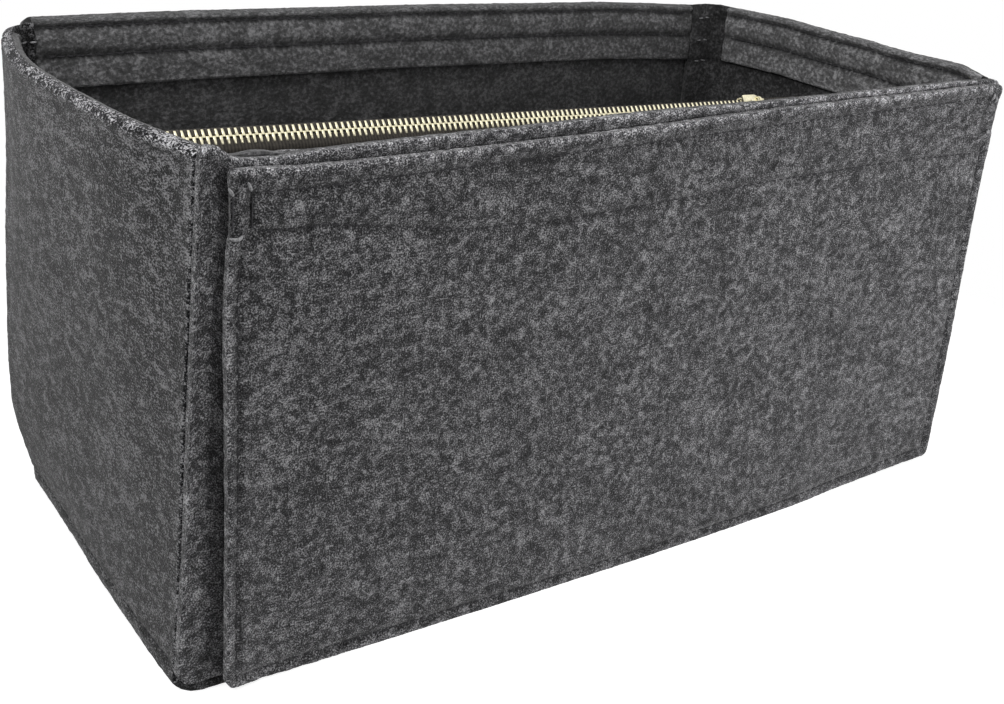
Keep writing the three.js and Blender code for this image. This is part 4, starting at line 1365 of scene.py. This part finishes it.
class INSERT_OT_pocket(bpy.types.Operator):
    """Sew the flat pocket on the front wall, with its rows of stitches and the bar tacks at its corners"""

    bl_idname = "insert.pocket"
    bl_label = "Front pocket"

    def execute(self, context):
        step = context.scene.insert_felt.grid_step
        side_columns = [
            (POCKET_LEFT, POCKET_LEFT + FINE_REACH, POCKET_FINE_STEP),
            (POCKET_RIGHT - FINE_REACH, POCKET_RIGHT, POCKET_FINE_STEP),
        ]
        fine_rows = [
            (0, FINE_REACH, POCKET_FINE_STEP),
            POCKET_HEM_ROWS,
            (POCKET_HEIGHT - POCKET_RIM_ROWS_DEPTH, POCKET_HEIGHT, POCKET_FINE_STEP),
        ]
        seams = [(path, SEAM_REACH) for path in POCKET_SEAMS.values()]
        seams += [(path, TACK_REACH, press_and_painted_shade) for path, press_and_painted_shade in zip(TACK_SIDES, TACK_PRESS)]
        felt_piece(
            "pocket_felt",
            pocket_wall,
            grid_places(POCKET_LEFT, POCKET_RIGHT, step, side_columns),
            grid_places(0, POCKET_HEIGHT, step, fine_rows),
            "pocket_panel",
            radii=(0.003, 0.003, 0.003, 0.002),
            seams=seams,
            rounding=POCKET_ROUNDING,
        )
        out = -context.scene.insert_seams.pull * SINK_SHARE
        for node, path in POCKET_SEAMS.items():
            sew(node.replace("thread", "stitches"), pocket_wall, path, out, node)
        self.tacks(out)
        return {"FINISHED"}

    def tacks(self, out):
        """A bar tack closes each top corner: two upright rows of stitches, with loops at their ends made pale
        as a painted highlight.
        """
        edges = {"left": (POCKET_LEFT, 1, TACK_SIDES[:2]), "right": (POCKET_RIGHT, -1, TACK_SIDES[2:])}
        for side, (edge, inward, uprights) in edges.items():
            rows = [sew("tack_upright", pocket_wall, path, out, pitch=TACK_PITCH) for path in uprights]
            least = LEAST_TACK_REACH[side]
            for loop in TACK_LOOPS:
                path = [(edge + inward * max(aside, least), POCKET_HEIGHT - depth) for aside, depth in loop]
                rows.append(
                    sew(
                        "tack_loop",
                        pocket_wall,
                        path,
                        TACK_LOOP_LIFT,
                        material=tack_material(),
                        pitch=TACK_LOOP_PITCH,
                        width=TACK_LOOP_WIDTH,
                    )
                )
            join_pieces(rows, "pocket_" + side + "_tack_stitches", ["pocket_tack_" + side])


def band_piece(side, wall, start, end, step):
    """A band inside the rim, with its two seam rows."""
    foot, top = up_from_rim(BAND_HEIGHT), up_from_rim(BAND_DROP)
    seams = [[(start, up_from_rim(depth)), (end, up_from_rim(depth))] for depth in BAND_SEAM_DEPTHS]
    felt_piece(
        side + "_band_felt",
        wall,
        grid_places(start, end, step),
        grid_places(foot, top, BAND_ROW_STEP),
        side + "_rim_band",
        inset=BAND_INSET,
        seams=[(path, BAND_SEAM_REACH, BAND_SEAM_PRESS) for path in seams],
        rounding=BAND_ROUNDING,
        material=band_felt(side),
    )
    inner = BAND_INSET + FELT
    sink = bpy.context.scene.insert_seams.pull * SINK_SHARE
    for row, path in enumerate(seams, start=1):
        ends = [(start + BAND_SEAM_MARGIN, path[0][1]), (end - BAND_SEAM_MARGIN, path[1][1])]
        node = side + "_band_thread_" + str(row)
        sew(side + "_band_stitches_" + str(row), wall, ends, sink, node, inset=inner, facing=-1)


class INSERT_OT_bands(bpy.types.Operator):
    """Sew the bands inside the rim, each with two rows of stitches"""

    bl_idname = "insert.bands"
    bl_label = "Rim bands"

    def execute(self, context):
        step = context.scene.insert_felt.grid_step
        rear_left = LEFT_CORNER + CORNER_RADIUS + LEFT_LAP_LENGTH
        rear_right = RIGHT_EDGE - CORNER_RADIUS - LAP_LENGTH - SEAT_GAP
        band_piece("rear", rear_wall, rear_left, rear_right, step)
        start = FELT + SEAT_GAP
        for side, wall in END_WALLS.items():
            band_piece(side, wall, start, STRAIGHT_LENGTH + BAND_BEND_REACH, step)
        front_left = LEFT_EDGE + BAND_INSET
        front_right = RIGHT_EDGE - BAND_INSET
        band_piece("front", front_wall, front_left, front_right, step)
        return {"FINISHED"}


class INSERT_OT_pouch(bpy.types.Operator):
    """Hang the zipped pouch between the end walls: two sheets and the strip that closes its bottom"""

    bl_idname = "insert.pouch"
    bl_label = "Zipped pouch"

    def execute(self, context):
        step = context.scene.insert_felt.grid_step * POUCH_STEP_SHARE
        columns = grid_places(LEFT_EDGE, RIGHT_EDGE, step)
        rim_rows = (up_from_rim(ZIP_SEAM_ROWS_DEPTH), WALL_HEIGHT, FINE_STEP)
        rows = grid_places(0, WALL_HEIGHT, step, [rim_rows])
        seam_up = up_from_rim(ZIP_SEAM_DEPTH)
        seam = [(LEFT_EDGE + ZIP_SEAM_MARGIN, seam_up), (RIGHT_EDGE - ZIP_SEAM_MARGIN, seam_up)]
        sink = -context.scene.insert_seams.pull * SINK_SHARE
        for side, wall in (("front", POUCH_FRONT), ("rear", POUCH_REAR)):
            felt_piece(
                "pouch_" + side + "_felt",
                wall,
                columns,
                rows,
                "pouch_" + side + "_sheet",
                seams=[(seam, SEAM_REACH)],
            )
            sew("zip_" + side + "_stitches", wall, seam, sink, "zip_seam_thread_" + side)
        low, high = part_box("pouch_bottom_strip")
        columns = grid_places(low.x, high.x, step * 2)
        strip = flat_sheet("pouch_bottom_felt", columns, grid_places(low.y, high.y, step))
        lay_on(strip, lambda along, up, out: np.column_stack([along, up, high.z + out]))
        raise_nap(strip)
        finish_piece(strip, felt_material(), nodes=["pouch_bottom_strip"])
        return {"FINISHED"}


# The rear tape's fold: how far below the chain's edge it reaches its sheet, and how far a fold is eased
TAPE_FOLD_DROP = 0.0026
TAPE_FOLD_REACH = 0.0005
SMALL_STEP = 0.0001


def tape_line(side):
    """The section of a tape, from the teeth's outer edge down along its sheet, in depth and height."""
    if side == "front":
        drop_y, shelf = across_chain(-TAPE_FLAT_REACH, 0)
        return [across_chain(-TAPE_INNER_REACH, 0), (drop_y, shelf), (drop_y, shelf - TAPE_DROP)]
    sheet_face = span("pouch_rear_sheet", Y)[0] - ZIP_Y
    drop_y = sheet_face - SEAT_GAP - TAPE_THICKNESS / 2
    flat_y, shelf = across_chain(ROW_TOP_REACH, 0)
    start = across_chain(TAPE_INNER_REACH, 0)
    return [start, (flat_y, shelf), (drop_y, shelf - TAPE_FOLD_DROP), (drop_y, -TAPE_DROP)]


class INSERT_OT_tapes(bpy.types.Operator):
    """Lay the zip's woven tapes from the teeth down the inside of the pouch"""

    bl_idname = "insert.tapes"
    bl_label = "Zip tapes"

    def execute(self, context):
        for side in ("front", "rear"):
            low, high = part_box("zip_tape_" + side)
            line = np.array(tape_line(side))
            lengths = np.linalg.norm(np.diff(line, axis=0), axis=1)
            travelled = np.concatenate([[0], np.cumsum(lengths)])
            rows = grid_places(0, travelled[-1], TAPE_ROW_STEP)
            columns = grid_places(low.x, high.x, TAPE_COLUMN_STEP)
            tape = flat_sheet("zip_" + side + "_tape", columns, rows, thickness=TAPE_THICKNESS)
            along, down, out = points_of(tape).T
            smooth = [self.eased(down, travelled, line[:, axis]) for axis in (0, 1)]
            ahead = [self.eased(down + SMALL_STEP, travelled, line[:, axis]) for axis in (0, 1)]
            heading = np.column_stack([ahead[0] - smooth[0], ahead[1] - smooth[1]])
            heading /= np.linalg.norm(heading, axis=1)[:, None]
            outwards = np.column_stack([-heading[:, 1], heading[:, 0]]) * (1 if side == "front" else -1)
            middle = out + TAPE_THICKNESS / 2
            points = np.column_stack(
                [along, smooth[0] + outwards[:, 0] * middle, smooth[1] + outwards[:, 1] * middle]
            )
            move_points(tape, through(ZIP_FRAME, points))
            mend_facing(tape)
            finish_piece(tape, tape_material(), nodes=["zip_tape_" + side])
        return {"FINISHED"}

    def eased(self, down, travelled, values):
        """The line's value at a distance along it, with its folds eased."""
        offsets = np.linspace(-TAPE_FOLD_REACH, TAPE_FOLD_REACH, 5)
        return np.mean([np.interp(down + offset, travelled, values) for offset in offsets], axis=0)


# Gaps between the chain and its stops, and how far the stops' edges are rounded over
CHAIN_START_GAP = 0.0004
CHAIN_END_GAP = 0.0006
STOP_ROUNDING = 0.0003

# A tooth: how far its head reaches past the centre line, what share of the set sizes its head and heel take,
# and how far its edges are rounded over
TOOTH_HEAD = -0.0003
HEAD_WIDTH_SHARE = 1.12
HEEL_WIDTH_SHARE = 0.82
HEAD_HEIGHT_SHARE = 0.8
TOOTH_ROUNDING = 0.00014


class INSERT_OT_teeth(bpy.types.Operator):
    """Clamp the brass teeth along the tapes, the two rows meshing, with a stop at each end"""

    bl_idname = "insert.teeth"
    bl_label = "Zip teeth"

    def execute(self, context):
        sizes = context.scene.insert_zip
        start = span("zip_bottom_stop", X)[1] / math.cos(ZIP_SLOPE) + CHAIN_START_GAP
        end = span("zip_top_stop_front", X)[0] / math.cos(ZIP_SLOPE) - CHAIN_END_GAP
        count = int((end - start) / TOOTH_PITCH)
        for side, sign, offset in (("front", -1, 0), ("rear", 1, TOOTH_PITCH / 2)):
            tooth = self.tooth("zip_" + side + "_teeth", sizes)
            points = points_of(tooth)
            points[:, 0] += start + TOOTH_PITCH / 2 + offset
            points[:, 1] *= sign
            move_points(tooth, points)
            repeat_along(tooth, count - 1, TOOTH_PITCH)
            points = points_of(tooth)
            points[:, 2] -= np.abs(points[:, 1]) * math.tan(ROW_SAG)
            move_points(tooth, through(CHAIN_FRAME, points))
            mend_facing(tooth)
            finish_piece(tooth, brass_material(), nodes=["zip_teeth_" + side])
        for node in ("zip_bottom_stop", "zip_top_stop_front", "zip_top_stop_rear"):
            softened_copy(node, node + "_metal", STOP_ROUNDING)
        return {"FINISHED"}

    def tooth(self, name, sizes):
        """One tooth across the chain: a bar with a rounded head that meshes past the centre line."""
        bpy.ops.mesh.primitive_cube_add(size=1, location=(0, 0, 0))
        tooth = name_piece(bpy.context.object, name)
        points = points_of(tooth)
        points[:, 0] *= sizes.tooth_width
        points[:, 1] = np.where(points[:, 1] < 0, TOOTH_HEAD, ROW_REACH)
        points[:, 2] *= sizes.tooth_height
        move_points(tooth, points)
        bpy.ops.object.mode_set(mode="EDIT")
        bpy.ops.mesh.select_all(action="SELECT")
        bpy.ops.mesh.subdivide(number_cuts=1)
        bpy.ops.object.mode_set(mode="OBJECT")
        points = points_of(tooth)
        at_head = points[:, 1] < TOOTH_HEAD / 2
        points[:, 0] *= np.where(at_head, HEAD_WIDTH_SHARE, HEEL_WIDTH_SHARE)
        points[:, 2] *= np.where(at_head, HEAD_HEIGHT_SHARE, 1.0)
        move_points(tooth, points)
        round_edges(tooth, TOOTH_ROUNDING, 1, angle=40)
        return tooth


# How far the edges of the slider and its pull are rounded over
SLIDER_ROUNDING = 0.0002
PULL_ROUNDING = 0.00022


def softened_copy(node, name, width, body="insert"):
    """A copy of a metal node with its edges rounded over."""
    source = bpy.data.objects[node]
    piece = source.copy()
    piece.data = source.data.copy()
    bpy.context.collection.objects.link(piece)
    piece.parent = None
    piece.matrix_world = Matrix.Identity(4)
    name_piece(piece, name)
    select_only(piece)
    bpy.ops.object.mode_set(mode="EDIT")
    bpy.ops.mesh.select_all(action="SELECT")
    bpy.ops.mesh.remove_doubles(threshold=0.00002)
    bpy.ops.mesh.dissolve_limited(angle_limit=math.radians(2))
    bpy.ops.object.mode_set(mode="OBJECT")
    round_edges(piece, width, 3, angle=30)
    mend_facing(piece)
    finish_piece(piece, brass_material(), body, [node])
    return piece


class INSERT_OT_slider(bpy.types.Operator):
    """Fit the slider on the chain and the pull round its bridge"""

    bl_idname = "insert.slider"
    bl_label = "Slider and pull"

    def execute(self, context):
        softened_copy("slider_body", "slider_metal", SLIDER_ROUNDING, "slider")
        softened_copy("slider_pull", "pull_tab_metal", PULL_ROUNDING, "pull")
        return {"FINISHED"}


# Loops of a corner tack: how far along the wall they start, how far below the rim each pair is, a loop's
# length and width, how far it stands off the felt, and the step between the two of a pair
CORNER_LOOP_START = STRAIGHT_LENGTH + CORNER_RADIUS * 1.05
CORNER_LOOP_DEPTHS = (0.0064, 0.0166, 0.0262)
CORNER_LOOP_LENGTH = 0.0042
CORNER_LOOP_WIDTH = 1.5
CORNER_LOOP_LIFT = 0.0005
CORNER_LOOP_STEP = 0.0004


class INSERT_OT_foot_seams(bpy.types.Operator):
    """Stitch the walls to the base just above their lower edge, and tack the laps in the rear corners"""

    bl_idname = "insert.foot_seams"
    bl_label = "Foot seams and corner tacks"

    def execute(self, context):
        out = -context.scene.insert_seams.pull * SINK_SHARE
        for side, wall in END_WALLS.items():
            path = [(FOOT_SEAM_MARGIN, FOOT_SEAM_HEIGHT), (STRAIGHT_LENGTH, FOOT_SEAM_HEIGHT)]
            sew(side + "_foot_stitches", wall, path, out, side + "_foot_thread")
            self.corner_tack(side, wall)
        path = [(x, FOOT_SEAM_HEIGHT) for x in (REAR_LEFT + FOOT_SEAM_MARGIN, REAR_RIGHT - FOOT_SEAM_MARGIN)]
        sew("rear_foot_stitches", rear_wall, path, out, "rear_foot_thread")
        return {"FINISHED"}

    def corner_tack(self, side, wall):
        """Loops across the corner, just below the band's seams and its lower edge."""
        start = CORNER_LOOP_START
        middle = start + CORNER_LOOP_LENGTH
        end = middle + CORNER_LOOP_LENGTH
        gap = CORNER_LOOP_STEP
        loops = []
        for depth in CORNER_LOOP_DEPTHS:
            for path in ([(start, depth), (middle, depth - gap)], [(middle + gap, depth), (end, depth)]):
                loops.append(
                    sew(
                        side + "_corner_loop",
                        wall,
                        [(along, up_from_rim(down)) for along, down in path],
                        -CORNER_LOOP_LIFT,
                        material=tack_material(),
                        inset=FELT,
                        facing=-1,
                        width=CORNER_LOOP_WIDTH,
                    )
                )
        join_pieces(loops, side + "_corner_stitches", [side + "_corner_tack"])


FLOOR_RADIUS = 0.36

# Each lamp: its place, what it is aimed at and how wide it is
LAMPS = {
    "overhead": ((0.05, -0.05, 1.25), (0, 0, 0.08), 1.3),
    "front": ((0.24, -0.52, 0.20), (0, -0.08, 0.08), 0.22),
    "side": ((-0.42, -0.06, 0.44), (-0.16, 0, 0.10), 0.2),
}

# Camera of the photograph, in its 1004 by 704 frame
FRAME_WIDTH = 1004
FOCAL_PIXELS = 1499.3
CENTRE_PIXEL = (535.7, 328.9)
FRAME_CENTRE = (502, 352)
CAMERA_AZIMUTH = math.radians(-39.18)
CAMERA_ELEVATION = math.radians(21.61)
CAMERA_ROLL = math.radians(5.13)
CAMERA_DISTANCE = 0.5857
CAMERA_TARGET = Vector((0.0129, -0.0024, 0.0566))


class INSERT_OT_studio(bpy.types.Operator):
    """Set the camera at the photograph's view, with a pale floor, soft lamps and a white surround"""

    bl_idname = "insert.studio"
    bl_label = "Studio"

    def execute(self, context):
        studio = context.scene.insert_studio
        self.camera(context)
        powers = {"overhead": studio.key_power, "front": studio.front_power, "side": studio.side_power}
        for name, power in powers.items():
            self.lamp(name, *LAMPS[name], power)
        self.floor()
        self.world(context, studio.sky)
        context.scene.view_settings.view_transform = "Standard"
        return {"FINISHED"}

    def camera(self, context):
        flat, high = math.cos(CAMERA_ELEVATION), math.sin(CAMERA_ELEVATION)
        back = Vector((math.sin(CAMERA_AZIMUTH) * flat, -math.cos(CAMERA_AZIMUTH) * flat, high))
        level = (-back).cross(Vector((0, 0, 1))).normalized()
        upright = level.cross(-back)
        right = level * math.cos(CAMERA_ROLL) + upright * math.sin(CAMERA_ROLL)
        up = upright * math.cos(CAMERA_ROLL) - level * math.sin(CAMERA_ROLL)
        bpy.ops.object.camera_add()
        camera = context.object
        camera.name = "photograph_camera"
        turn = Matrix((right, up, back)).transposed().to_4x4()
        camera.matrix_world = Matrix.Translation(CAMERA_TARGET + back * CAMERA_DISTANCE) @ turn
        camera.data.sensor_width = 36
        camera.data.lens = FOCAL_PIXELS * camera.data.sensor_width / FRAME_WIDTH
        camera.data.shift_x = (FRAME_CENTRE[0] - CENTRE_PIXEL[0]) / FRAME_WIDTH
        camera.data.shift_y = (CENTRE_PIXEL[1] - FRAME_CENTRE[1]) / FRAME_WIDTH
        camera.data.clip_start = 0.01
        context.scene.camera = camera

    def lamp(self, name, place, target, size, power):
        """A round lamp at a place, aimed at a target."""
        bpy.ops.object.light_add(type="AREA", location=place)
        lamp = bpy.context.object
        lamp.name = name + "_lamp"
        lamp.data.shape = "DISK"
        lamp.data.size = size
        lamp.data.energy = power
        lamp.rotation_euler = (Vector(target) - Vector(place)).to_track_quat("-Z", "Y").to_euler()

    def floor(self):
        bpy.ops.mesh.primitive_circle_add(
            vertices=96, radius=FLOOR_RADIUS, fill_type="NGON", location=(0, 0, 0)
        )
        floor = name_piece(bpy.context.object, "floor")
        floor.data.materials.append(floor_material())

    def world(self, context, strength):
        world = bpy.data.worlds.new("White surround")
        context.scene.world = world
        world.use_nodes = True
        tree = world.node_tree
        sky = tree.nodes["Background"]
        set_inputs(sky, Color=WHITE, Strength=strength)
        tree.links.new(white_when_seen(tree, sky), tree.nodes["World Output"].inputs["Surface"])


OPERATORS = (
    INSERT_OT_studio,
    INSERT_OT_base,
    INSERT_OT_walls,
    INSERT_OT_pocket,
    INSERT_OT_bands,
    INSERT_OT_pouch,
    INSERT_OT_tapes,
    INSERT_OT_teeth,
    INSERT_OT_slider,
    INSERT_OT_foot_seams,
)


class INSERT_PT_panel(bpy.types.Panel):
    """Lists the steps that dress the insert and the sizes that they use"""

    bl_idname = "INSERT_PT_panel"
    bl_label = "Felt handbag insert"
    bl_space_type = "VIEW_3D"
    bl_region_type = "UI"
    bl_category = "Insert"

    def draw(self, context):
        for name, group in SETTINGS.items():
            box = self.layout.box()
            for prop in group.__annotations__:
                box.prop(getattr(context.scene, name), prop)
        for operator in OPERATORS:
            self.layout.operator(operator.bl_idname)


CLASSES = (*SETTINGS.values(), *OPERATORS, INSERT_PT_panel)


def register():
    for cls in CLASSES:
        bpy.utils.register_class(cls)
    for name, group in SETTINGS.items():
        setattr(bpy.types.Scene, name, bpy.props.PointerProperty(type=group))


def unregister():
    for name in SETTINGS:
        delattr(bpy.types.Scene, name)
    for cls in reversed(CLASSES):
        bpy.utils.unregister_class(cls)


def main():
    register()
    for operator in OPERATORS:
        group, name = operator.bl_idname.split(".")
        getattr(getattr(bpy.ops, group), name)()


if __name__ == "__main__":
    main()
